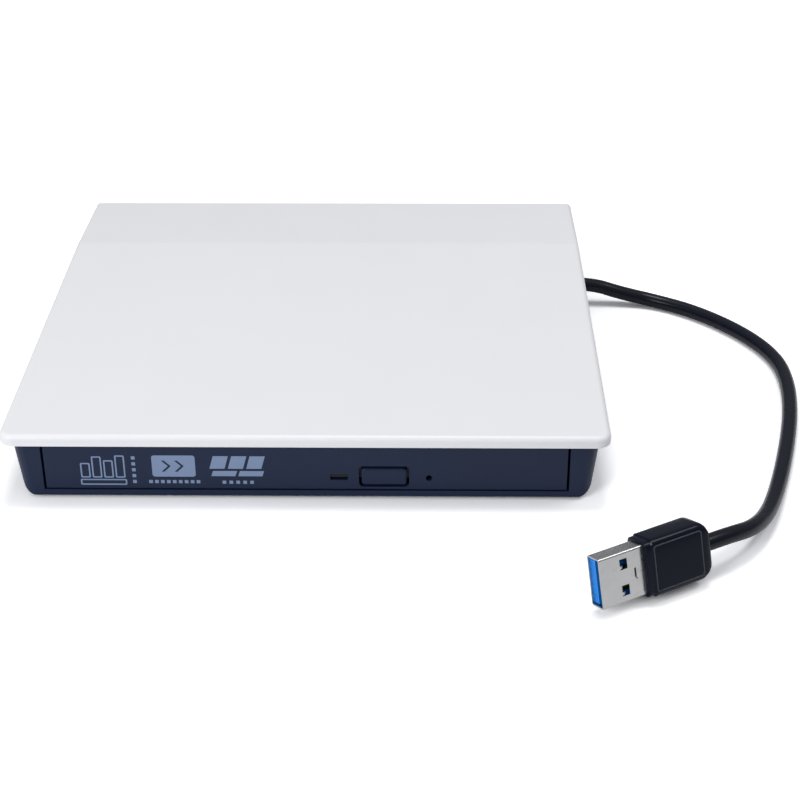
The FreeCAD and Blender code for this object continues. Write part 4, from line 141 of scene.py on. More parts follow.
@dataclass(frozen=True)
class Finish:
    """A real material and the way its surface was made.

    A broad noise, mottle_mm across, moves the colour between colour and shade. A smaller one moves the
    roughness by its swing. A fine noise, grain_mm across, stands depth_mm high.
    """

    name: str
    colour: str
    shade: str
    roughness: float
    swing: float = 0.05
    metallic: float = 0.0
    ior: float = 1.5
    specular: float = 0.5
    coat: float = 0.0
    sheen: float = 0.0
    transmission: float = 0.0
    grain_mm: float = 0.3
    depth_mm: float = 0.004
    mottle_mm: float = 12.0
    lay: Lay = Lay.EVEN
    turn: float = 0.0

    def place(self, tree: bpy.types.NodeTree) -> bpy.types.NodeSocket:
        """Return the piece's own coordinates, turned by turn degrees and stretched by the lay."""
        own = add_node(tree, "ShaderNodeTexCoord").outputs["Object"]
        level = add_node(tree, "ShaderNodeMapping", {
            "Vector": own, "Rotation": (0.0, 0.0, math.radians(self.turn))})
        stretched = add_node(tree, "ShaderNodeMapping", {
            "Vector": level.outputs[0], "Scale": self.lay.value})
        return stretched.outputs[0]

    def noise(self, tree: bpy.types.NodeTree, place: bpy.types.NodeSocket, size_mm: float,
              detail: float = 2.0) -> bpy.types.NodeSocket:
        """Return a noise whose features are size_mm across."""
        return add_node(tree, "ShaderNodeTexNoise", {
            "Vector": place, "Scale": 1.0 / (size_mm * MM), "Detail": detail}).outputs[0]

    def relief(self, tree: bpy.types.NodeTree, place: bpy.types.NodeSocket) -> bpy.types.NodeSocket:
        """Return the fine pattern's height, from 0 to 1."""
        return self.noise(tree, place, self.grain_mm)

    def tint(self, tree: bpy.types.NodeTree, place: bpy.types.NodeSocket) -> bpy.types.NodeSocket:
        """Return the colour, which the broad noise moves between its two ends."""
        broad = self.noise(tree, place, self.mottle_mm)
        return mixed(tree, broad, linear(self.colour), linear(self.shade))

    def build(self) -> bpy.types.Material:
        """Return the finish's material, made on the first call."""
        known = bpy.data.materials.get(self.name)
        if known is not None:
            return known
        material = bpy.data.materials.new(self.name)
        material.diffuse_color = linear(self.colour)
        tree = empty_tree(material)
        place = self.place(tree)
        height = self.relief(tree, place)
        bump = add_node(tree, "ShaderNodeBump", {
            "Height": height, "Strength": 1.0, "Distance": self.depth_mm * MM})
        rough = add_node(tree, "ShaderNodeMapRange", {
            "Value": self.noise(tree, place, self.mottle_mm * ROUGH_SHARE, detail=3.0),
            "From Min": NOISE_SPAN[0], "From Max": NOISE_SPAN[1],
            "To Min": self.roughness - self.swing, "To Max": self.roughness + self.swing})
        shader = add_node(tree, "ShaderNodeBsdfPrincipled", {
            "Base Color": self.tint(tree, place), "Metallic": self.metallic, "Roughness": rough.outputs[0],
            "IOR": self.ior, "Specular IOR Level": self.specular, "Coat Weight": self.coat,
            "Sheen Weight": self.sheen, "Transmission Weight": self.transmission, "Normal": bump.outputs[0]})
        add_node(tree, "ShaderNodeOutputMaterial", {"Surface": shader.outputs[0]})
        return material


def mixed(tree: bpy.types.NodeTree, share: Input, first: Input, second: Input) -> bpy.types.NodeSocket:
    """Mix two colours by a share.

    Args:
        tree: Node tree that gets the node.
        share: 0 for the first colour, 1 for the second.
        first: Colour or output.
        second: Colour or output.

    Returns:
        The mixed colour.
    """
    node = add_node(tree, "ShaderNodeMix", {0: share, 6: first, 7: second}, data_type="RGBA")
    return node.outputs[2]


@dataclass(frozen=True)
class Banded(Finish):
    """A finish with even bands or rings, pitch_mm from one to the next, about centre."""

    pitch_mm: float = 0.5
    rings: bool = False
    direction: str = "Z"
    centre: Point = (0.0, 0.0, 0.0)

    def relief(self, tree: bpy.types.NodeTree, place: bpy.types.NodeSocket) -> bpy.types.NodeSocket:
        """Return the bands' height: a sine of the distance along or from the axis."""
        own = add_node(tree, "ShaderNodeTexCoord").outputs["Object"]
        centred = add_node(tree, "ShaderNodeMapping", {
            "Vector": own, "Location": tuple(-part * MM for part in self.centre)})
        kind = {"wave_type": "RINGS", "rings_direction": self.direction} if self.rings else {
            "wave_type": "BANDS", "bands_direction": self.direction}
        wave = add_node(tree, "ShaderNodeTexWave", {
            "Vector": centred.outputs[0], "Scale": WAVE_PERIOD / (self.pitch_mm * MM)}, **kind)
        return wave.outputs["Fac"]


@dataclass(frozen=True)
class Striped(Banded):
    """A banded finish whose bands also change from its colour to its shade."""

    def tint(self, tree: bpy.types.NodeTree, place: bpy.types.NodeSocket) -> bpy.types.NodeSocket:
        """Return the colour, which changes with the bands."""
        return mixed(tree, self.relief(tree, place), linear(self.shade), linear(self.colour))


@dataclass(frozen=True)
class Traced(Finish):
    """A circuit board's finish: lacquer that lets the copper tracks show through, pitch_mm apart."""

    track: str = "1F6B40"
    pitch_mm: float = 1.3
    width_mm: float = 0.3

    def tint(self, tree: bpy.types.NodeTree, place: bpy.types.NodeSocket) -> bpy.types.NodeSocket:
        """Return the lacquer's colour with paler tracks in it, staggered as a wall's joints are."""
        tracks = add_node(tree, "ShaderNodeTexBrick", {
            "Vector": place, "Scale": 1.0, "Mortar Size": self.width_mm * MM / 2, "Mortar Smooth": 0.1,
            "Brick Width": self.pitch_mm * MM * 4, "Row Height": self.pitch_mm * MM})
        return mixed(tree, tracks.outputs["Fac"], super().tint(tree, place), linear(self.track))


class Finishes:
    """Every finish of the object, by what it really is."""

    # White ABS from a fine-textured mould: even, softly shining, without grain that the eye can pick out.
    COVER = Finish("white_abs_satin", "E9E9EB", "E7E7E9", 0.4, 0.04, ior=1.53, grain_mm=0.35,
                   depth_mm=0.003, mottle_mm=40.0)
    # Black ABS from a fine-textured mould: blue-black, with a soft broad shine.
    CASE = Finish("black_abs_satin", "15213A", "18253F", 0.4, ior=1.53, specular=0.22, mottle_mm=30.0)
    # The tray front is the same ABS with a slightly smoother face.
    FRONT = Finish("black_abs_front", "15213A", "18243E", 0.34, 0.04, ior=1.53, specular=0.22,
                   grain_mm=0.25, depth_mm=0.003, mottle_mm=25.0)
    # Black polycarbonate blend from a coarser mould: matt, so that a disc isn't seen through glare.
    TRAY = Finish("black_polycarbonate_matt", "17181C", "191A1E", 0.55, 0.02, ior=1.58, specular=0.35,
                  grain_mm=0.4, depth_mm=0.008, mottle_mm=25.0)
    # Natural acetal: milky white and waxy.
    ACETAL = Finish("natural_acetal", "E4E3DC", "DCDBD2", 0.4, 0.04, ior=1.48, grain_mm=0.5, depth_mm=0.003)
    RUBBER = Finish("matt_rubber", "17181A", "1F2022", 0.8, 0.06, ior=1.52, grain_mm=0.35, depth_mm=0.015,
                    sheen=0.1)
    JACKET = Finish("pvc_jacket_satin", "090E19", "0B111E", 0.26, 0.03, ior=1.53, specular=0.2,
                    grain_mm=0.6, depth_mm=0.002)
    GRIP = Finish("pvc_grip_gloss", "0A0F1C", "0C1120", 0.14, 0.02, ior=1.53, specular=0.12, grain_mm=1.5,
                  depth_mm=0.001, mottle_mm=6.0)
    # The bead round the grip's panel is polished, so it catches the light. Its lighter colour is a painted
    # highlight.
    BEAD = Finish("pvc_bead_polished_painted_highlight", "10172A", "131B30", 0.2, 0.02, ior=1.53, grain_mm=1.5,
                  depth_mm=0.001, mottle_mm=6.0)
    TONGUE = Finish("blue_polyester_insulator", "0786E6", "057BD8", 0.3, ior=1.57, specular=0.3,
                    depth_mm=0.002, mottle_mm=5.0)
    GUIDE = Finish("smoked_acrylic", "07080B", "060709", 0.08, 0.03, ior=1.49, specular=0.3, grain_mm=1.0,
                   depth_mm=0.001, transmission=0.1)
    # Zinc-plated sheet steel: rolled, so its fine lines run one way, and dull bright.
    SHEET = Finish("zinc_plated_sheet_steel", "8E9195", "8B8E92", 0.42, 0.012, metallic=1.0, grain_mm=0.25,
                   depth_mm=0.0015, mottle_mm=14.0, lay=Lay.ALONG_Y)
    PLATE = Finish("zinc_plated_frame", "888B8F", "85888C", 0.42, 0.012, metallic=1.0, depth_mm=0.0015,
                   mottle_mm=14.0, lay=Lay.ALONG_X, turn=-45.0)
    GROUND = Finish("ground_steel", "C3C5C8", "B7B9BC", 0.18, metallic=1.0, grain_mm=0.2, depth_mm=0.002,
                    mottle_mm=5.0)
    TURNED = Finish("turned_steel", "85878B", "818387", 0.36, 0.015, metallic=1.0, depth_mm=0.001,
                    mottle_mm=8.0)
    NICKEL = Finish("nickel_plated_shell", "C9C8C6", "BFBEBC", 0.24, 0.04, metallic=1.0, grain_mm=0.4,
                    depth_mm=0.001, mottle_mm=4.0)
    SCREW = Finish("black_zinc_screw", "3A3B3E", "47484B", 0.35, 0.06, metallic=1.0, grain_mm=0.25,
                   depth_mm=0.006, mottle_mm=1.5)
    CAST = Finish("cast_zinc", "66686B", "616366", 0.55, 0.02, metallic=1.0, grain_mm=0.5, depth_mm=0.006,
                  mottle_mm=5.0)
    LAMINATED = Banded("laminated_steel", "5E6064", "4E5054", 0.45, metallic=1.0, depth_mm=0.02,
                       mottle_mm=2.0, pitch_mm=0.35)
    MAGNET = Finish("nickelled_magnet", "6B6C70", "5F6064", 0.3, metallic=1.0, grain_mm=0.2, depth_mm=0.006,
                    mottle_mm=2.0)
    COPPER = Banded("enamelled_copper", "B5622F", "9C4F22", 0.28, metallic=1.0, depth_mm=0.05,
                    mottle_mm=1.5, pitch_mm=0.25)
    GOLD = Finish("gold_plated_contact", "D9B25A", "CBA24A", 0.22, metallic=1.0, grain_mm=0.1,
                  depth_mm=0.001, mottle_mm=1.0)
    # Green solder mask over copper tracks.
    BOARD = Traced("green_solder_mask", "0E4A2A", "0A3D22", 0.3, ior=1.55, grain_mm=0.6, depth_mm=0.01,
                   mottle_mm=2.0)
    CHIP = Finish("epoxy_package", "1A1A1C", "232326", 0.55, ior=1.55, grain_mm=0.15, depth_mm=0.006,
                  mottle_mm=1.5)
    HOLDER = Finish("crystal_polymer", "1F1F22", "18181B", 0.42, ior=1.6, grain_mm=0.2, mottle_mm=1.5)
    LENS = Finish("coated_lens", "9FB4E8", "8FA6E0", 0.03, 0.01, ior=1.6, grain_mm=1.0, depth_mm=0.0005,
                  mottle_mm=3.0, transmission=0.7, coat=1.0)
    FLEX = Finish("polyimide_film", "B9772B", "A96A22", 0.25, ior=1.7, grain_mm=0.4, depth_mm=0.003,
                  mottle_mm=2.0)
    # White film cable: its tinned conductors, 1 mm apart, show through as grey stripes.
    RIBBON = Striped("film_cable", "E2E4E8", "A8ACB2", 0.25, ior=1.6, depth_mm=0.02, mottle_mm=4.0,
                     pitch_mm=1.0, direction="X")
    SOCKET = Finish("ivory_nylon_socket", "D9D2BC", "CFC7AF", 0.42, 0.04, ior=1.53, mottle_mm=3.0)
    CERAMIC = Finish("tan_ceramic", "9A7B52", "8A6C45", 0.4, ior=1.6, grain_mm=0.1, depth_mm=0.003,
                     mottle_mm=0.8)
    LAMP = Finish("clear_lamp_epoxy", "CFE0A8", "BFD29A", 0.08, 0.02, ior=1.55, grain_mm=0.5,
                  depth_mm=0.001, mottle_mm=1.0, transmission=0.5)
    BRONZE = Finish("sintered_bronze", "A9824F", "97713F", 0.45, 0.06, metallic=1.0, grain_mm=0.12,
                    depth_mm=0.01, mottle_mm=1.0)
    PRINT = Finish("pale_pad_print", "7A8CAC", "7487A7", 0.5, 0.04, grain_mm=0.15, depth_mm=0.001,
                   mottle_mm=1.5)


class Form:
    """Solids worked out as whole arrays, in millimetres. A solid is its points and its faces."""

    @staticmethod
    def rounded(width: float, height: float, radius: float, steps: int = 6) -> Array:
        """Lay out a rounded rectangle about the origin.

        Args:
            width: Its size along the first axis.
            height: Its size along the second axis.
            radius: Radius of its corners.
            steps: Points round each corner.

        Returns:
            Its points, anticlockwise.
        """
        turns = np.arange(4)[:, None] * np.pi / 2 + np.linspace(0, np.pi / 2, steps)
        sides = np.array([(1, 1), (-1, 1), (-1, -1), (1, -1)])[:, None, :]
        middles = sides * np.array([width / 2 - radius, height / 2 - radius])
        return (middles + np.stack([np.cos(turns), np.sin(turns)], -1) * radius).reshape(-1, 2)

    @staticmethod
    def round_turn(count: int) -> Array:
        """Return count even steps once round, in radians from 0."""
        return np.linspace(0, 2 * np.pi, count, endpoint=False)

    @staticmethod
    def slanted(width: float, height: float, slant: float = 0.0) -> Array:
        """Return a rectangle about the origin whose top is pushed along by slant, anticlockwise."""
        x, y, shift = width / 2, height / 2, slant / 2
        return np.array([(-x - shift, -y), (x - shift, -y), (x + shift, y), (-x + shift, y)])

    @staticmethod
    def loft(rings: Array, ends: bool = True) -> Solid:
        """Join rings of points, each to the next.

        Args:
            rings: Rings, points and coordinates. The points go anticlockwise seen against the rings' way.
            ends: Whether the end rings get a flat face each; otherwise they are joined to each other.

        Returns:
            The solid.
        """
        count, around = rings.shape[:2]
        grid = np.arange(count * around).reshape(count, around)
        if not ends:
            grid = np.vstack([grid, grid[:1]])
        ahead = np.roll(grid, -1, axis=1)
        faces = np.stack([grid[:-1], ahead[:-1], ahead[1:], grid[1:]], -1).reshape(-1, 4).tolist()
        if ends:
            faces += [grid[0][::-1].tolist(), grid[-1].tolist()]
        return rings.reshape(-1, 3), faces

    @staticmethod
    def raised(outline: Array, height: float) -> Array:
        """Return an outline's points, lifted to a height along the third axis."""
        return np.column_stack([outline, np.full(len(outline), height)])

    @classmethod
    def plate(cls, outline: Array, low: float, high: float, bevel: float = 0.0) -> Solid:
        """Make a flat plate from an outline about its middle.

        Args:
            outline: Points of the outline, anticlockwise.
            low: Height of its underside.
            high: Height of its top.
            bevel: How far the top is drawn in and how deep the bevel goes.

        Returns:
            The plate.
        """
        rings = [cls.raised(outline, low), cls.raised(outline, high - bevel)]
        if bevel:
            middle = (outline.min(0) + outline.max(0)) / 2
            half = (outline.max(0) - outline.min(0)) / 2
            rings.append(cls.raised(middle + (outline - middle) * (1 - bevel / half), high))
        return cls.loft(np.stack(rings))

    @classmethod
    def frame(cls, outer: Array, inner: Array, low: float, high: float) -> Solid:
        """Return the flat frame between two outlines that have the same number of points."""
        rings = [cls.raised(outline, height) for outline, height in (
            (inner, low), (outer, low), (outer, high), (inner, high))]
        return cls.loft(np.stack(rings), ends=False)

    @staticmethod
    def shift(solid: Solid, offset: Point) -> Solid:
        """Return a solid moved by an offset."""
        return solid[0] + np.array(offset), solid[1]

    @classmethod
    def sweep(cls, path: Array, outline: Array, aside: Point) -> Solid:
        """Sweep an outline along a path.

        Args:
            path: Points of the path.
            outline: The outline about the path, anticlockwise seen against the path's direction.
            aside: Direction of the outline's first axis, as nearly as the path allows.

        Returns:
            The swept solid, closed at both ends.
        """
        ahead = np.gradient(path, axis=0)
        ahead /= np.linalg.norm(ahead, axis=1, keepdims=True)
        across = np.array(aside) - ahead * (ahead @ np.array(aside))[:, None]
        across /= np.linalg.norm(across, axis=1, keepdims=True)
        above = np.cross(ahead, across)
        return cls.loft(
            path[:, None] + outline[None, :, :1] * across[:, None] + outline[None, :, 1:] * above[:, None])

    @classmethod
    def tube(cls, path: Array, radius: float, around: int, aside: Point) -> Solid:
        """Return a round wire along a path; aside is a direction that the path never takes."""
        turns = cls.round_turn(around)
        return cls.sweep(path, np.column_stack([np.cos(turns), np.sin(turns)]) * radius, aside)

    @classmethod
    def lathe(cls, lengths: Array, radii: Array) -> Solid:
        """Turn a profile about the first axis.

        Args:
            lengths: Places along the axis, rising.
            radii: Radius at each place and at each point round it.

        Returns:
            The turned solid.
        """
        turns = cls.round_turn(radii.shape[1])
        along = np.broadcast_to(lengths[:, None], radii.shape)
        return cls.loft(np.stack([along, radii * np.cos(turns), radii * np.sin(turns)], -1))

    @staticmethod
    def join(solids: Sequence[Solid]) -> Solid:
        """Put several solids into one piece."""
        starts = np.cumsum([0] + [len(points) for points, _ in solids])
        faces = [[int(start) + corner for corner in face]
                 for start, (_, group) in zip(starts, solids) for face in group]
        return np.vstack([points for points, _ in solids]), faces


@dataclass(frozen=True)
class Axes:
    """A turned set of axes, in millimetres of the row frame."""

    origin: Point
    turning: Matrix

    def place(self, solid: Solid) -> Solid:
        """Return a solid given in these axes as it lies in the row frame."""
        points, faces = solid
        return points @ np.array(self.turning.to_3x3()).T + np.array(self.origin), faces

    def local(self, points: Array) -> Array:
        """Return points of the row frame as these axes see them."""
        return (points - np.array(self.origin)) @ np.array(self.turning.to_3x3())


ROW_FRAME = Axes((0.0, 0.0, 0.0), Matrix.Identity(4))
MECHANISM = Axes((0.0, -5.3, 0.0), turned(225.0))


@dataclass(frozen=True)
class Zone:
    """Part of space between two values on each axis, and between two distances from the third axis."""

    x: Pair = (-FAR, FAR)
    y: Pair = (-FAR, FAR)
    z: Pair = (-FAR, FAR)
    radius: Pair = (-FAR, FAR)
    axes: Axes = ROW_FRAME

    def holds(self, points: Array) -> Array:
        """Say which of the points lie in it."""
        own = self.axes.local(points)
        measures = np.column_stack([own, np.linalg.norm(own[:, :2], axis=1)])
        low, high = np.array([self.x, self.y, self.z, self.radius]).T
        return ((measures > low) & (measures < high)).all(1)


def make_piece(name: str, solid: Solid, finish: Finish, body: str) -> bpy.types.Object:
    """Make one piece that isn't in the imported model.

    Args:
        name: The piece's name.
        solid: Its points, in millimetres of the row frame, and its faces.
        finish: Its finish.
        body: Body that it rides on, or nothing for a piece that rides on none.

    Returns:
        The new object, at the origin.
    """
    points, faces = solid
    mesh = bpy.data.meshes.new(name)
    mesh.from_pydata((points * MM).tolist(), [], faces)
    mesh.polygons.foreach_set("use_smooth", np.ones(len(mesh.polygons), bool))
    mesh.set_sharp_from_angle(angle=math.radians(SHARP_DEGREES))
    mesh.materials.append(finish.build())
    mesh.update()
    piece = show(name, mesh)
    if body:
        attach(piece, body)
    LOG.info("piece %s: %d points, %s", name, len(points), finish.name)
    return piece


@dataclass(frozen=True)
class SoftBox:
    """Square white lamp, aimed at the middle of the drive."""

    name: str
    place: Point
    side: float
    watts: float

    def build(self) -> None:
        """Hang it."""
        data = bpy.data.lights.new(self.name, "AREA")
        data.shape = "RECTANGLE"
        data.size = data.size_y = self.side * MM
        data.energy = self.watts
        lamp = show(self.name, data)
        lamp.location = Vector(self.place) * MM
        lamp.rotation_euler = (-lamp.location).to_track_quat("-Z", "Y").to_euler()


@dataclass(frozen=True)
class Studio:
    """Camera, lamps, floor and surroundings."""

    eye: Point = (29.98, -426.74, 235.23)
    yaw: float = -0.019
    pitch: float = 0.526
    roll: float = -0.006
    lens: float = 77.85
    sensor: float = 36.0
    clip_metres: Pair = (0.01, 20.0)
    horizon: str = "6E7076"
    zenith: str = "BEBFC3"
    zenith_rise: float = 0.8
    floor_half: float = 700.0
    floor_paint: str = "EBECEE"
    floor_seen: float = 1.4
    lamps: tuple[SoftBox, ...] = (
        SoftBox("top_softbox", (20.0, 160.0, 1000.0), 300.0, 3.2),
        SoftBox("front_softbox", (-420.0, -560.0, 330.0), 300.0, 2.6),
        SoftBox("side_softbox", (395.0, -28.0, 514.0), 160.0, 0.5),
    )

    def camera(self) -> None:
        """Set the camera to the photograph's viewing angle."""
        reach = math.cos(self.pitch)
        ahead = np.array([math.sin(self.yaw) * reach, math.cos(self.yaw) * reach, -math.sin(self.pitch)])
        level = np.array([math.cos(self.yaw), -math.sin(self.yaw), 0.0])
        upright = np.cross(level, ahead)
        right = level * math.cos(self.roll) + upright * math.sin(self.roll)
        above = -level * math.sin(self.roll) + upright * math.cos(self.roll)
        data = bpy.data.cameras.new("camera")
        data.lens, data.sensor_width, data.sensor_fit = self.lens, self.sensor, "HORIZONTAL"
        data.clip_start, data.clip_end = self.clip_metres
        camera = show("camera", data)
        attitude = Matrix(np.stack([right, above, -ahead], 1).tolist())
        camera.matrix_world = Matrix.Translation(Vector(self.eye) * MM) @ attitude.to_4x4()
        bpy.context.scene.camera = camera

    def surroundings(self) -> None:
        """Give a white background, and a pale light from all round that is weaker towards the horizon."""
        world = bpy.data.worlds.new("pale_room")
        tree = empty_tree(world)
        way = add_node(tree, "ShaderNodeTexCoord").outputs["Generated"]
        height = add_node(tree, "ShaderNodeSeparateXYZ", {0: way}).outputs[2]
        share = add_node(tree, "ShaderNodeMapRange", {
            "Value": height, "From Min": 0.0, "From Max": self.zenith_rise})
        room = mixed(tree, share.outputs[0], linear(self.horizon), linear(self.zenith))
        path = add_node(tree, "ShaderNodeLightPath")
        through = add_node(tree, "ShaderNodeMath", {
            0: path.outputs["Is Camera Ray"], 1: path.outputs["Is Transmission Ray"]}, operation="MAXIMUM")
        tone = mixed(tree, through.outputs[0], room, linear("FFFFFF"))
        light = add_node(tree, "ShaderNodeBackground", {"Color": tone, "Strength": 1.0})
        add_node(tree, "ShaderNodeOutputWorld", {"Surface": light.outputs[0]})
        bpy.context.scene.world = world

    def floor(self) -> None:
        """Lay a white floor that keeps the drive's shadow and looks brighter to the camera than it is."""
        mesh = bpy.data.meshes.new("floor")
        corners = np.array([(-1, -1, 0), (1, -1, 0), (1, 1, 0), (-1, 1, 0)]) * self.floor_half * MM
        mesh.from_pydata(corners.tolist(), [], [(0, 1, 2, 3)])
        material = bpy.data.materials.new("white_sweep")
        tree = empty_tree(material)
        path = add_node(tree, "ShaderNodeLightPath")
        seen = (self.floor_seen, self.floor_seen, self.floor_seen, 1.0)
        tone = mixed(tree, path.outputs["Is Camera Ray"], linear(self.floor_paint), seen)
        paint = add_node(tree, "ShaderNodeBsdfDiffuse", {"Color": tone})
        add_node(tree, "ShaderNodeOutputMaterial", {"Surface": paint.outputs[0]})
        mesh.materials.append(material)
        show("floor", mesh)

    def build(self) -> None:
        """Set up the whole studio."""
        self.camera()
        self.surroundings()
        self.floor()
        for lamp in self.lamps:
            lamp.build()
        bpy.context.scene.view_settings.view_transform = "Standard"


@dataclass(frozen=True)
class Painted:
    """Part of a node that has a finish of its own: the faces whose middles lie in any of its zones."""

    node: str
    finish: Finish
    zones: tuple[Zone, ...]

    def build(self) -> None:
        """Give the faces their finish."""
        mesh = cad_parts[self.node].data
        middles = np.empty(len(mesh.polygons) * 3)
        mesh.polygons.foreach_get("center", middles)
        numbers = np.empty(len(mesh.polygons), np.int32)
        mesh.polygons.foreach_get("material_index", numbers)
        places = middles.reshape(-1, 3) / MM
        numbers[np.any([zone.holds(places) for zone in self.zones], axis=0)] = len(mesh.materials)
        mesh.materials.append(self.finish.build())
        mesh.polygons.foreach_set("material_index", numbers)
        LOG.info("node %s: %s on part of it", self.node, self.finish.name)


class Assembly:
    """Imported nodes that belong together, and the pieces that are added to them."""

    finishes: ClassVar[dict[str, Finish]] = {}
    painted: ClassVar[tuple[Painted, ...]] = ()

    def build(self) -> None:
        """Give each node its finish, then its painted parts, then add the details."""
        for name, finish in self.finishes.items():
            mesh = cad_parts[name].data
            mesh.materials.clear()
            mesh.materials.append(finish.build())
            LOG.info("node %s: %s", name, finish.name)
        for part in self.painted:
            part.build()
        self.detail()

    def detail(self) -> None:
        """Leave the nodes as they are."""


class OuterCase(Assembly):
    """White cover, black base, feet and screws."""

    finishes = {
        "top_cover": Finishes.COVER,
        "bottom_case": Finishes.CASE,
        "rubber_feet": Finishes.RUBBER,
        "case_screws": Finishes.SCREW,
        "cord_grommet": Finishes.RUBBER,
    }


@dataclass(frozen=True)
class Printed:
    """Printed rectangle, or a row or column of them, whose middle stands at x and z of its mark's middle."""

    width: float
    height: float
    x: float
    z: float
    slant: float = 0.0
    corner: float = 0.0
    stroke: float = 0.0
    count: int = 1
    pitch: float = 0.0
    down: bool = False
    outer_corner: ClassVar[float] = 0.3
    inner_corner: ClassVar[float] = 0.1

    def places(self) -> Array:
        """Return the middle of each rectangle."""
        steps = (np.arange(self.count) - (self.count - 1) / 2) * self.pitch
        way = np.array((0.0, -1.0) if self.down else (1.0, 0.0))
        return np.array((self.x, self.z)) + steps[:, None] * way

    def solids(self, ink: float) -> list[Solid]:
        """Return the rectangles, or their outlines where a stroke is given, as thick as the ink."""
        if self.stroke:
            outer = Form.rounded(self.width, self.height, self.outer_corner, 3)
            inner = Form.rounded(
                self.width - 2 * self.stroke, self.height - 2 * self.stroke, self.inner_corner, 3)
            return [Form.frame(outer + place, inner + place, -ink, ink) for place in self.places()]
        if self.corner:
            outline = Form.rounded(self.width, self.height, self.corner)
        else:
            outline = Form.slanted(self.width, self.height, self.slant)
        return [Form.plate(outline + place, -ink, ink) for place in self.places()]


@dataclass
class TrayFront(Assembly):
    """Tray front with its button, its light and three plain printed marks."""

    face_y: float = -70.5
    marks_z: float = 8.3
    ink: float = 0.03
    inlay: float = 1.6
    arrow: tuple[Pair, ...] = ((-1.4, -1.6), (-0.7, -1.6), (0.9, 0.0), (-0.7, 1.6), (-1.4, 1.6), (0.2, 0.0))
    arrow_places: tuple[Pair, ...] = ((-1.6, 1.2), (1.6, 1.2))
    columns_x: float = -48.2
    columns: tuple[Printed, ...] = (
        Printed(2.4, 4.2, -5.7, -0.1, stroke=0.36),
        Printed(2.4, 6.1, -2.85, 0.85, stroke=0.36),
        Printed(2.4, 5.0, 0.0, 0.3, stroke=0.36),
        Printed(2.4, 6.4, 2.85, 1.0, stroke=0.36),
        Printed(11.4, 1.7, -1.4, -3.45, stroke=0.36),
        Printed(0.9, 0.9, 6.2, 0.1, count=5, pitch=1.7, down=True),
    )
    plate_x: float = -32.2
    plate: tuple[Printed, ...] = (
        Printed(10.6, 6.1, 0.0, 1.2, corner=0.7),
        Printed(0.9, 0.9, 0.0, -3.3, count=9, pitch=1.46),
    )
    slanted_x: float = -16.6
    slanted: tuple[Printed, ...] = (
        Printed(3.7, 3.6, 0.0, 2.3, slant=1.0, count=3, pitch=4.5),
        Printed(5.9, 1.5, 0.0, -0.9, slant=0.5, count=2, pitch=6.6),
        Printed(0.9, 0.9, 0.0, -3.4, count=5, pitch=1.7),
    )

    finishes = {
        "bezel": Finishes.FRONT,
        "eject_button": Finishes.FRONT,
        "led_light_guide": Finishes.GUIDE,
    }

    def print_mark(self, name: str, solids: Sequence[Solid], x: float,
                   finish: Finish = Finishes.PRINT) -> None:
        """Print flat shapes on the front's face.

        Args:
            name: The mark's name.
            solids: Its shapes, about its own middle.
            x: Where its middle stands.
            finish: The ink's finish.
        """
        face = Axes((x, self.face_y, self.marks_z), turned(90.0, "X"))
        make_piece(name, face.place(Form.join(solids)), finish, "tray_unit")

    def inked(self, shapes: Sequence[Printed]) -> list[Solid]:
        """Return the solids of a mark's shapes."""
        return [solid for shape in shapes for solid in shape.solids(self.ink)]

    def detail(self) -> None:
        """Print columns, a plate with two arrow heads left out of it, and slanted blocks."""
        heads = [
            Form.plate(np.array(self.arrow) + place, -self.ink, self.ink * self.inlay)
            for place in self.arrow_places]
        self.print_mark("front_mark_columns", self.inked(self.columns), self.columns_x)
        self.print_mark("front_mark_plate", self.inked(self.plate), self.plate_x)
        self.print_mark("front_mark_arrows", heads, self.plate_x, Finishes.FRONT)
        self.print_mark("front_mark_slanted", self.inked(self.slanted), self.slanted_x)


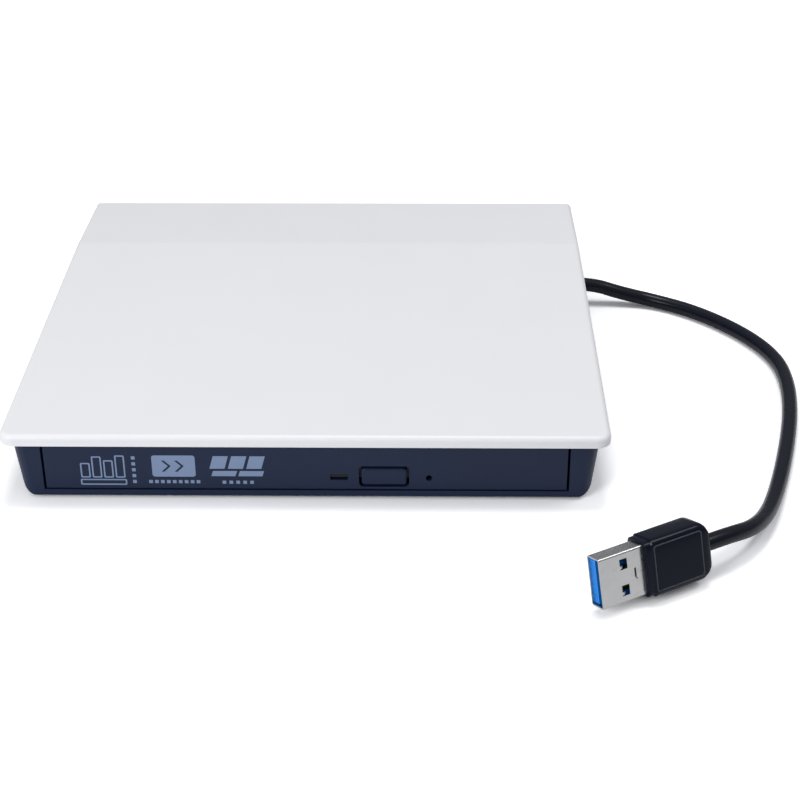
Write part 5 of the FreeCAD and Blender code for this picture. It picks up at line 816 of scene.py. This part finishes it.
@dataclass
class DriveChassis(Assembly):
    """Steel box of the disc drive, its rails and the ribbon to the tray."""

    ribbon_x: float = 8.0
    ribbon_width: float = 12.0
    ribbon_film: float = 0.06
    ribbon_rear: float = 49.7
    ribbon_fold: float = -22.0
    ribbon_end: float = 40.5
    ribbon_low: float = 3.68
    ribbon_high: float = 4.47
    ribbon_step: float = 2.5
    ribbon_lift: float = 1.46
    fold_samples: int = 13

    finishes = {
        "drive_pan": Finishes.SHEET,
        "drive_lid": Finishes.SHEET,
        "drive_screws": Finishes.SCREW,
        "rail_guides": Finishes.ACETAL,
        "slide_rail_left": Finishes.SHEET,
        "slide_rail_right": Finishes.SHEET,
        "latch_pin": Finishes.GROUND,
        "drive_connector": Finishes.CHIP,
        "connector_board": Finishes.BOARD,
    }
    # The connector's blades.
    painted = (Painted("drive_connector", Finishes.GOLD, (Zone(z=(7.15, 8.65)),)),)

    def ribbon_path(self) -> Array:
        """Return the ribbon's middle line: forward on the pan, round its fold and back under the tray."""
        radius = (self.ribbon_high - self.ribbon_low) / 2
        lower = np.arange(self.ribbon_rear, self.ribbon_fold, -self.ribbon_step)
        turns = np.linspace(-np.pi / 2, -3 * np.pi / 2, self.fold_samples)
        upper = np.linspace(self.ribbon_fold, self.ribbon_end, 1 + round(
            (self.ribbon_end - self.ribbon_fold) / self.ribbon_step))[1:]
        y = np.concatenate([lower, self.ribbon_fold + radius * np.cos(turns), upper])
        z = np.concatenate([
            np.full(len(lower), self.ribbon_low), self.ribbon_low + radius + radius * np.sin(turns),
            np.full(len(upper), self.ribbon_high)])
        return np.column_stack([np.full(len(y), self.ribbon_x), y, z])

    def ribbon(self) -> None:
        """Make the ribbon along its path, tied to no body."""
        strip = Form.slanted(self.ribbon_width, self.ribbon_film)
        solid = Form.sweep(self.ribbon_path(), strip, (1.0, 0.0, 0.0))
        piece = make_piece("tray_ribbon_run", solid, Finishes.RIBBON, "")
        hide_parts("tray_ribbon")
        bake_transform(piece)

    def detail(self) -> None:
        """Lay the ribbon."""
        self.ribbon()


class Tray(Assembly):
    """Moulded tray with its plate, boards and latch."""

    finishes = {
        "tray": Finishes.TRAY,
        "tray_bottom_plate": Finishes.SHEET,
        "mechanism_cover": Finishes.SHEET,
        "tray_board": Finishes.BOARD,
        "front_board": Finishes.BOARD,
        "tray_board_parts": Finishes.CHIP,
        "switch_and_lamp": Finishes.CHIP,
        "release_magnet": Finishes.SHEET,
        "eject_plunger": Finishes.ACETAL,
        "latch_lever": Finishes.ACETAL,
    }

    # The board's sockets and its small parts, the lamp on the front board, and the magnet's winding.
    painted = (
        Painted("tray_board_parts", Finishes.SOCKET, (
            Zone(z=(8.1, FAR)), Zone(x=(-FAR, 15.5), y=(38.5, FAR)))),
        Painted("tray_board_parts", Finishes.CERAMIC, (
            Zone(x=(49.8, FAR), y=(-FAR, -16.0), z=(-FAR, 7.5)), Zone(x=(20.0, FAR), y=(37.0, FAR)))),
        Painted("switch_and_lamp", Finishes.LAMP, (Zone(x=(-FAR, 12.0)),)),
        Painted("release_magnet", Finishes.COPPER, (Zone(x=(47.5, 54.3)),)),
    )


@dataclass
class Mechanism(Assembly):
    """Frame of the mechanism with its rods, its motor, its lead screw and the sled."""

    screw_start: float = -0.3
    screw_end: float = 48.606
    journal_start: float = -5.3
    journal_end: float = 49.4
    screw_side: float = 24.3
    rod_z: float = 7.9
    screw_radius: float = 1.0
    journal_radius: float = 0.5
    pitch: float = 3.0
    groove: float = 0.22
    groove_power: int = 3
    screw_samples: int = 560
    screw_around: int = 24
    yoke_reach: float = 4.35
    lens_u: float = 23.5
    wire_root: float = 2.5
    wire_low: float = 4.2
    wire_side: float = 3.2
    wire_bend: float = 4.7
    wire_end: float = 7.7
    wire_z: float = 9.4
    wire_radius: float = 0.08
    wire_around: int = 8

    finishes = {
        "mechanism_frame": Finishes.PLATE,
        "frame_dampers": Finishes.RUBBER,
        "frame_screws": Finishes.SCREW,
        "guide_rods": Finishes.GROUND,
        "sled_motor": Finishes.SHEET,
        "pickup_flex": Finishes.FLEX,
        "pickup_sled": Finishes.CAST,
        "screw_follower": Finishes.ACETAL,
        "laser_parts": Finishes.CHIP,
        "focus_magnets": Finishes.MAGNET,
        "lens_holder": Finishes.HOLDER,
        "objective_lens": Finishes.LENS,
    }
    # The yokes at the magnets' far ends, and the laser's can beside its chip.
    painted = (
        Painted("focus_magnets", Finishes.SHEET, (
            Zone(x=(-FAR, lens_u - yoke_reach), axes=MECHANISM),
            Zone(x=(lens_u + yoke_reach, FAR), axes=MECHANISM))),
        Painted("laser_parts", Finishes.GOLD, (Zone(y=(0.0, FAR), axes=MECHANISM),)),
    )

    def lead_screw(self) -> None:
        """Make the lead screw: a rod whose radius dips along a helix, with a plain journal at each end."""
        thread = np.linspace(self.screw_start, self.screw_end, self.screw_samples)
        turns = Form.round_turn(self.screw_around)
        dip = np.clip(np.cos(2 * np.pi * thread[:, None] / self.pitch - turns), 0, 1) ** self.groove_power
        cut = self.screw_radius - self.groove * dip
        journal = np.full((2, len(turns)), self.journal_radius)
        lengths = np.concatenate([[self.journal_start, thread[0]], thread, [thread[-1], self.journal_end]])
        solid = Form.lathe(lengths, np.vstack([journal, cut, journal]))
        placed = MECHANISM.place(Form.shift(solid, (0.0, self.screw_side, self.rod_z)))
        piece = make_piece("lead_screw_thread", placed, Finishes.GROUND, "screw")
        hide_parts("lead_screw")

    def lens_wires(self) -> None:
        """Hang the lens holder's four thin wires between it and the sled."""
        sides = np.array([(-1, 1), (1, 1), (-1, -1), (1, -1)])
        way = np.array([
            (self.wire_root, self.wire_low, self.wire_z), (self.wire_side, self.wire_bend, self.wire_z),
            (self.wire_side, self.wire_end, self.wire_z)])
        wires = [
            Form.tube(way * (u, v, 1) + (self.lens_u, 0.0, 0.0), self.wire_radius, self.wire_around,
                      (0.0, 0.0, 1.0))
            for u, v in sides]
        make_piece("lens_wires", MECHANISM.place(Form.join(wires)), Finishes.GOLD, "sled")

    def detail(self) -> None:
        """Cut the thread and hang the wires."""
        self.lead_screw()
        self.lens_wires()


@dataclass
class Spindle(Assembly):
    """Spindle motor with its windings, its turntable and the three claws."""

    teeth: int = 9
    coil_start: float = 5.5
    coil_end: float = 8.6
    coil_width: float = 2.5
    coil_height: float = 2.0
    coil_corner: float = 0.5
    coil_z: float = 8.5
    wire_pitch: float = 0.3
    spring_start: float = 3.0
    spring_end: float = 4.6
    spring_radius: float = 0.21
    spring_wire: float = 0.055
    spring_turns: float = 6.0
    spring_around: int = 6
    spring_z: float = 13.35
    claw_angles: tuple[float, ...] = (90.0, 210.0, 330.0)
    ripple: float = 0.03
    coil_samples: int = 73
    spring_samples: int = 97

    finishes = {
        "spindle_base": Finishes.SHEET,
        "spindle_stator": Finishes.LAMINATED,
        "spindle_rotor": Finishes.TURNED,
        "rotor_magnet": Finishes.MAGNET,
        "turntable_grip": Finishes.RUBBER,
        "clamp_claw_1": Finishes.ACETAL,
        "clamp_claw_2": Finishes.ACETAL,
        "clamp_claw_3": Finishes.ACETAL,
    }
    # The moulded hub on the turntable, and the bush in the base.
    painted = (
        Painted("spindle_rotor", Finishes.HOLDER, (Zone(z=(11.6, FAR), radius=(-FAR, 8.0), axes=MECHANISM),)),
        Painted("spindle_base", Finishes.BRONZE, (Zone(radius=(-FAR, 3.4), axes=MECHANISM),)),
    )

    @staticmethod
    def spoke(angle: float) -> Axes:
        """Return axes whose first one points away from the spindle at an angle, in degrees."""
        return Axes(MECHANISM.origin, MECHANISM.turning @ turned(angle))

    def windings(self) -> None:
        """Wind every tooth: a rounded sleeve whose size ripples with each turn of wire."""
        along = np.linspace(self.coil_start, self.coil_end, self.coil_samples)
        size = 1 - self.ripple * (1 + np.cos(2 * np.pi * along / self.wire_pitch))
        loop = Form.rounded(self.coil_width, self.coil_height, self.coil_corner, 5)
        rings = np.concatenate([
            np.broadcast_to(along[:, None, None], (len(along), len(loop), 1)),
            loop[None] * size[:, None, None]], -1)
        coil = Form.shift(Form.loft(rings), (0.0, 0.0, self.coil_z))
        solid = Form.join([self.spoke(index * 360 / self.teeth).place(coil) for index in range(self.teeth)])
        piece = make_piece("stator_windings", solid, Finishes.COPPER, "tray_unit")
        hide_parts("stator_coils")

    def springs(self) -> None:
        """Wind the three small springs behind the claws."""
        share = np.linspace(0, 1, self.spring_samples)
        turns = 2 * np.pi * self.spring_turns * share
        path = np.column_stack([
            self.spring_start + (self.spring_end - self.spring_start) * share,
            self.spring_radius * np.cos(turns), self.spring_z + self.spring_radius * np.sin(turns)])
        spring = Form.tube(path, self.spring_wire, self.spring_around, (1.0, 0.0, 0.0))
        solid = Form.join([self.spoke(angle).place(spring) for angle in self.claw_angles])
        piece = make_piece("claw_spring_coils", solid, Finishes.GROUND, "spindle")
        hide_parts("claw_springs")

    def detail(self) -> None:
        """Wind the coils and the springs."""
        self.windings()
        self.springs()


class Bridge(Assembly):
    """Bridge board behind the drive, with its socket and leads."""

    finishes = {
        "bridge_socket": Finishes.CHIP,
        "bridge_board": Finishes.BOARD,
        "bridge_parts": Finishes.CHIP,
        "cord_leads": Finishes.JACKET,
    }

    # The crystal's can, the socket of the leads and the small parts beside the chips.
    painted = (
        Painted("bridge_parts", Finishes.GROUND, (Zone(x=(4.5, 8.7)),)),
        Painted("bridge_parts", Finishes.SOCKET, (Zone(x=(23.0, FAR)),)),
        Painted("bridge_parts", Finishes.CERAMIC, (Zone(x=(-FAR, -9.0)),)),
    )


@dataclass
class HostPlug(Assembly):
    """Flat host plug: moulded grip, steel shell with its springs, and the blue tongue.

    Its own axes start where the shell leaves the grip: first along the plug to its cord, then across its
    width, then through its thickness.
    """

    place: Point = (77.2, -109.5, 7.9)
    turn: float = 30.3
    lean: float = -15.6
    grip_length: float = 17.5
    grip_width: float = 14.0
    grip_thickness: float = 7.8
    grip_edge: float = 1.7
    grip_corner: float = 3.2
    mouth: float = 0.12
    mouth_inset: Pair = (0.55, 0.5)
    collar: float = 1.5
    collar_inset: float = 0.3
    collar_step: Pair = (-0.1, 0.25)
    rear_thinning: float = 0.5
    panel_gap: float = 0.5
    panel_end: float = 15.0
    panel_spread: float = 0.2
    panel_corner: float = 0.6
    bead: float = 0.17
    bead_sink: float = 0.03
    shell_thickness: float = 4.5
    window_x: float = -5.4
    window_side: float = 3.12
    window_half: float = 1.0
    leaf_width: float = 0.7
    leaf_thickness: float = 0.2
    leaf_side: float = -0.75
    leaf_root: float = 0.1
    leaf_share: float = 1.2
    leaf_sink: float = 0.2
    leaf_dip: float = 0.5
    seam_x: float = -2.45
    slot_size: Pair = (0.5, 2.3)
    slot_corner: float = 0.24
    slot_side: float = 0.25
    slot_depth: float = 0.1
    slot_rise: float = 0.012
    dome_x: float = 0.15
    dome_side: float = -1.3
    dome_radius: float = 0.38
    dome_tip: float = 0.02
    dome_sink: float = 0.02
    dome_rise: float = 0.14
    rear_samples: int = 9
    bead_samples: int = 7
    leaf_samples: int = 13
    dome_samples: int = 6
    dome_around: int = 16
    pieces: list[bpy.types.Object] = field(default_factory=list)

    finishes = {
        "plug_overmould": Finishes.GRIP,
        "plug_shell": Finishes.NICKEL,
        "plug_tongue": Finishes.TONGUE,
        "plug_contacts": Finishes.GOLD,
    }

    def axes(self) -> Axes:
        """Return the plug's own axes."""
        return Axes(self.place, turned(self.turn) @ turned(90 + self.lean, "X"))

    def rear(self) -> Vector:
        """Return the point where the cord goes into the grip."""
        return Vector(self.place) + self.axes().turning.to_3x3() @ Vector((self.grip_length, 0.0, 0.0))

    def add(self, name: str, solids: Sequence[Solid], finish: Finish, slot: str) -> bpy.types.Object:
        """Make a piece from solids in the plug's own axes, and note that it goes with the cord."""
        piece = make_piece(name, self.axes().place(Form.join(solids)), finish, "case")
        self.pieces.append(piece)
        return piece

    def grip(self) -> None:
        """Make the grip: rounded rectangles that step up at the collar and close in at the rear corners."""
        turns = np.linspace(0, np.pi / 2, self.rear_samples)
        closing = 1 - np.cos(turns)
        start = [0.0, self.mouth, *(self.collar + step for step in self.collar_step)]
        insets = (self.collar_inset, self.collar_inset, 0.0)
        straight = self.grip_length - self.grip_corner
        along = np.concatenate([start, straight + self.grip_corner * np.sin(turns)])
        narrower = np.concatenate([[self.mouth_inset[0], *insets], self.grip_corner * closing])
        thinner = np.concatenate([[self.mouth_inset[1], *insets], self.rear_thinning * closing ** 2])
        outline = Form.rounded(self.grip_width, self.grip_thickness, self.grip_edge)
        half = np.array((self.grip_width, self.grip_thickness)) / 2
        sizes = 1 - np.column_stack([narrower, thinner]) / half
        rings = np.concatenate([
            np.broadcast_to(along[:, None, None], (len(along), len(outline), 1)),
            outline[None] * sizes[:, None]], -1)
        body = self.add("plug_grip_body", [Form.loft(rings)], Finishes.GRIP, "plug_grip")
        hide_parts("plug_overmould")

    def panels(self) -> None:
        """Run a fine half-round bead round the flat panel on both broad faces of the grip."""
        start = self.collar + self.panel_gap
        size = np.array((self.panel_end - start, self.grip_width - 2 * self.grip_edge + self.panel_spread))
        middle = np.array(((start + self.panel_end) / 2, 0.0))
        floor = self.grip_thickness / 2 - self.bead_sink
        turns = np.linspace(np.pi, 0, self.bead_samples)
        rings = np.stack([
            Form.raised(Form.rounded(*(size + 2 * self.bead * math.cos(turn)), self.panel_corner) + middle,
                        floor + self.bead * math.sin(turn))
            for turn in turns])
        points, faces = Form.loft(rings, ends=False)
        far = points * np.array((1.0, -1.0, -1.0)), faces
        # The bead's colour, lighter than the grip's, paints a highlight round each panel.
        self.add("plug_grip_beads", [(points, faces), far], Finishes.BEAD, "plug_grip")

    def leaves(self) -> None:
        """Bend a spring leaf into each of the shell's four windows."""
        share = np.linspace(0, 1, self.leaf_samples)
        along = self.window_x - self.window_half - self.leaf_root + self.leaf_share * self.window_half * share
        height = self.shell_thickness / 2 - self.leaf_sink - self.leaf_dip * share ** 2
        outline = Form.slanted(self.leaf_width, self.leaf_thickness)
        leaves = [
            Form.sweep(np.column_stack([along, np.full(len(share), side * self.window_side + self.leaf_side),
                                        face * height]), outline, (0.0, 1.0, 0.0))
            for side in (-1.0, 1.0) for face in (-1.0, 1.0)]
        self.add("plug_shell_springs", leaves, Finishes.NICKEL, "plug_steel")

    def seam(self) -> None:
        """Lay a black plate as painted shade in the shell's stamped slot, and make the small dome below it.
        """
        top = self.shell_thickness / 2
        outline = Form.rounded(*self.slot_size, self.slot_corner, 4) + np.array((self.seam_x, self.slot_side))
        # A thin black plate just proud of the shell: painted shade where the slot opens into the plug.
        slot = Form.plate(outline, top - self.slot_depth, top + self.slot_rise)
        self.add("plug_shell_slot_painted_shade", [slot], Finishes.CHIP, "chip_black")
        rise = np.linspace(0, 1, self.dome_samples)
        turns = Form.round_turn(self.dome_around)
        radii = (self.dome_radius * np.sqrt(1 - rise ** 2) + self.dome_tip)[:, None]
        heights = (top - self.dome_sink + self.dome_rise * rise)[:, None]
        rings = np.stack([
            radii * np.cos(turns) + self.seam_x + self.dome_x, radii * np.sin(turns) + self.dome_side,
            np.broadcast_to(heights, (len(rise), len(turns)))], -1)
        self.add("plug_shell_dome", [Form.loft(rings)], Finishes.NICKEL, "plug_steel")

    def detail(self) -> None:
        """Add the grip's panels and the shell's springs and slot."""
        self.pieces += [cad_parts[name] for name in self.finishes]
        self.grip()
        self.panels()
        self.leaves()
        self.seam()


@dataclass
class HostCord:
    """The cord that leaves the case's right side, goes round on the surface and ends in the host plug.

    The run's points are measured from where the cord leaves the case, and from the height at which it lies.
    """

    plug: HostPlug
    case_seat_x: float = 71.73
    seat_z: float = 16.2
    draft: float = 6.8
    exit_y: float = 36.8
    exit_z: float = 6.3
    flange: float = 0.9
    diameter: float = 4.0
    length: float = 184.0
    lead: float = 7.0
    tail: float = 8.0
    around: int = 8
    along: int = 24
    run: tuple[Point, ...] = (
        (15.35, -0.6, 1.7), (25.15, -2.2, 0.0), (35.15, -8.4, 0.0), (44.15, -17.4, 0.0),
        (51.55, -28.0, 0.0), (55.95, -39.6, 0.0), (56.35, -52.4, 0.0), (54.55, -66.3, 0.0),
        (51.45, -80.3, 0.0), (47.75, -94.1, 0.0), (43.75, -107.0, 0.1), (39.55, -118.4, 1.4),
        (34.35, -127.6, 3.8))

    def route(self) -> list[Point]:
        """Return the route's points, as the solid cord has them."""
        lean = (self.seat_z - self.exit_z) * math.tan(math.radians(self.draft))
        start = self.case_seat_x - lean + self.flange
        run = [(start + x, self.exit_y + y, self.diameter / 2 + rise) for x, y, rise in self.run]
        rear = self.plug.rear()
        way = (rear - Vector(self.plug.place)).normalized()
        exit_points = [(start, self.exit_y, self.exit_z), (start + self.lead, self.exit_y, self.exit_z)]
        return exit_points + run + [tuple(rear + way * self.tail), tuple(rear)]

    def build(self) -> None:
        """Make the cord as a round NURBS tube along the route."""
        route = self.route()
        data = bpy.data.curves.new("cord_run", "CURVE")
        data.dimensions = "3D"
        data.bevel_depth = self.diameter / 2 * MM
        data.bevel_resolution = self.around
        data.resolution_u = self.along
        data.use_fill_caps = True
        spline = data.splines.new("NURBS")
        spline.points.add(len(route) - 1)
        for point, place in zip(spline.points, route):
            point.co = (place[0] * MM, place[1] * MM, place[2] * MM, 1.0)
        spline.order_u = 3
        spline.use_endpoint_u = True
        spline.use_smooth = True
        data.materials.append(Finishes.JACKET.build())
        cord = show("cord_run", data)
        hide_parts("usb_cord")
        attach(cord, "case")
        LOG.info("cord: %d route points", len(route))


def main() -> None:
    """Build the studio and every part of the drive."""
    logging.basicConfig(level=logging.INFO, format="%(message)s")
    Studio().build()
    plug = HostPlug()
    plug.build()
    HostCord(plug).build()
    for assembly in (OuterCase(), TrayFront(), DriveChassis(), Tray(), Mechanism(), Spindle(), Bridge()):
        assembly.build()


if __name__ == "__main__":
    main()
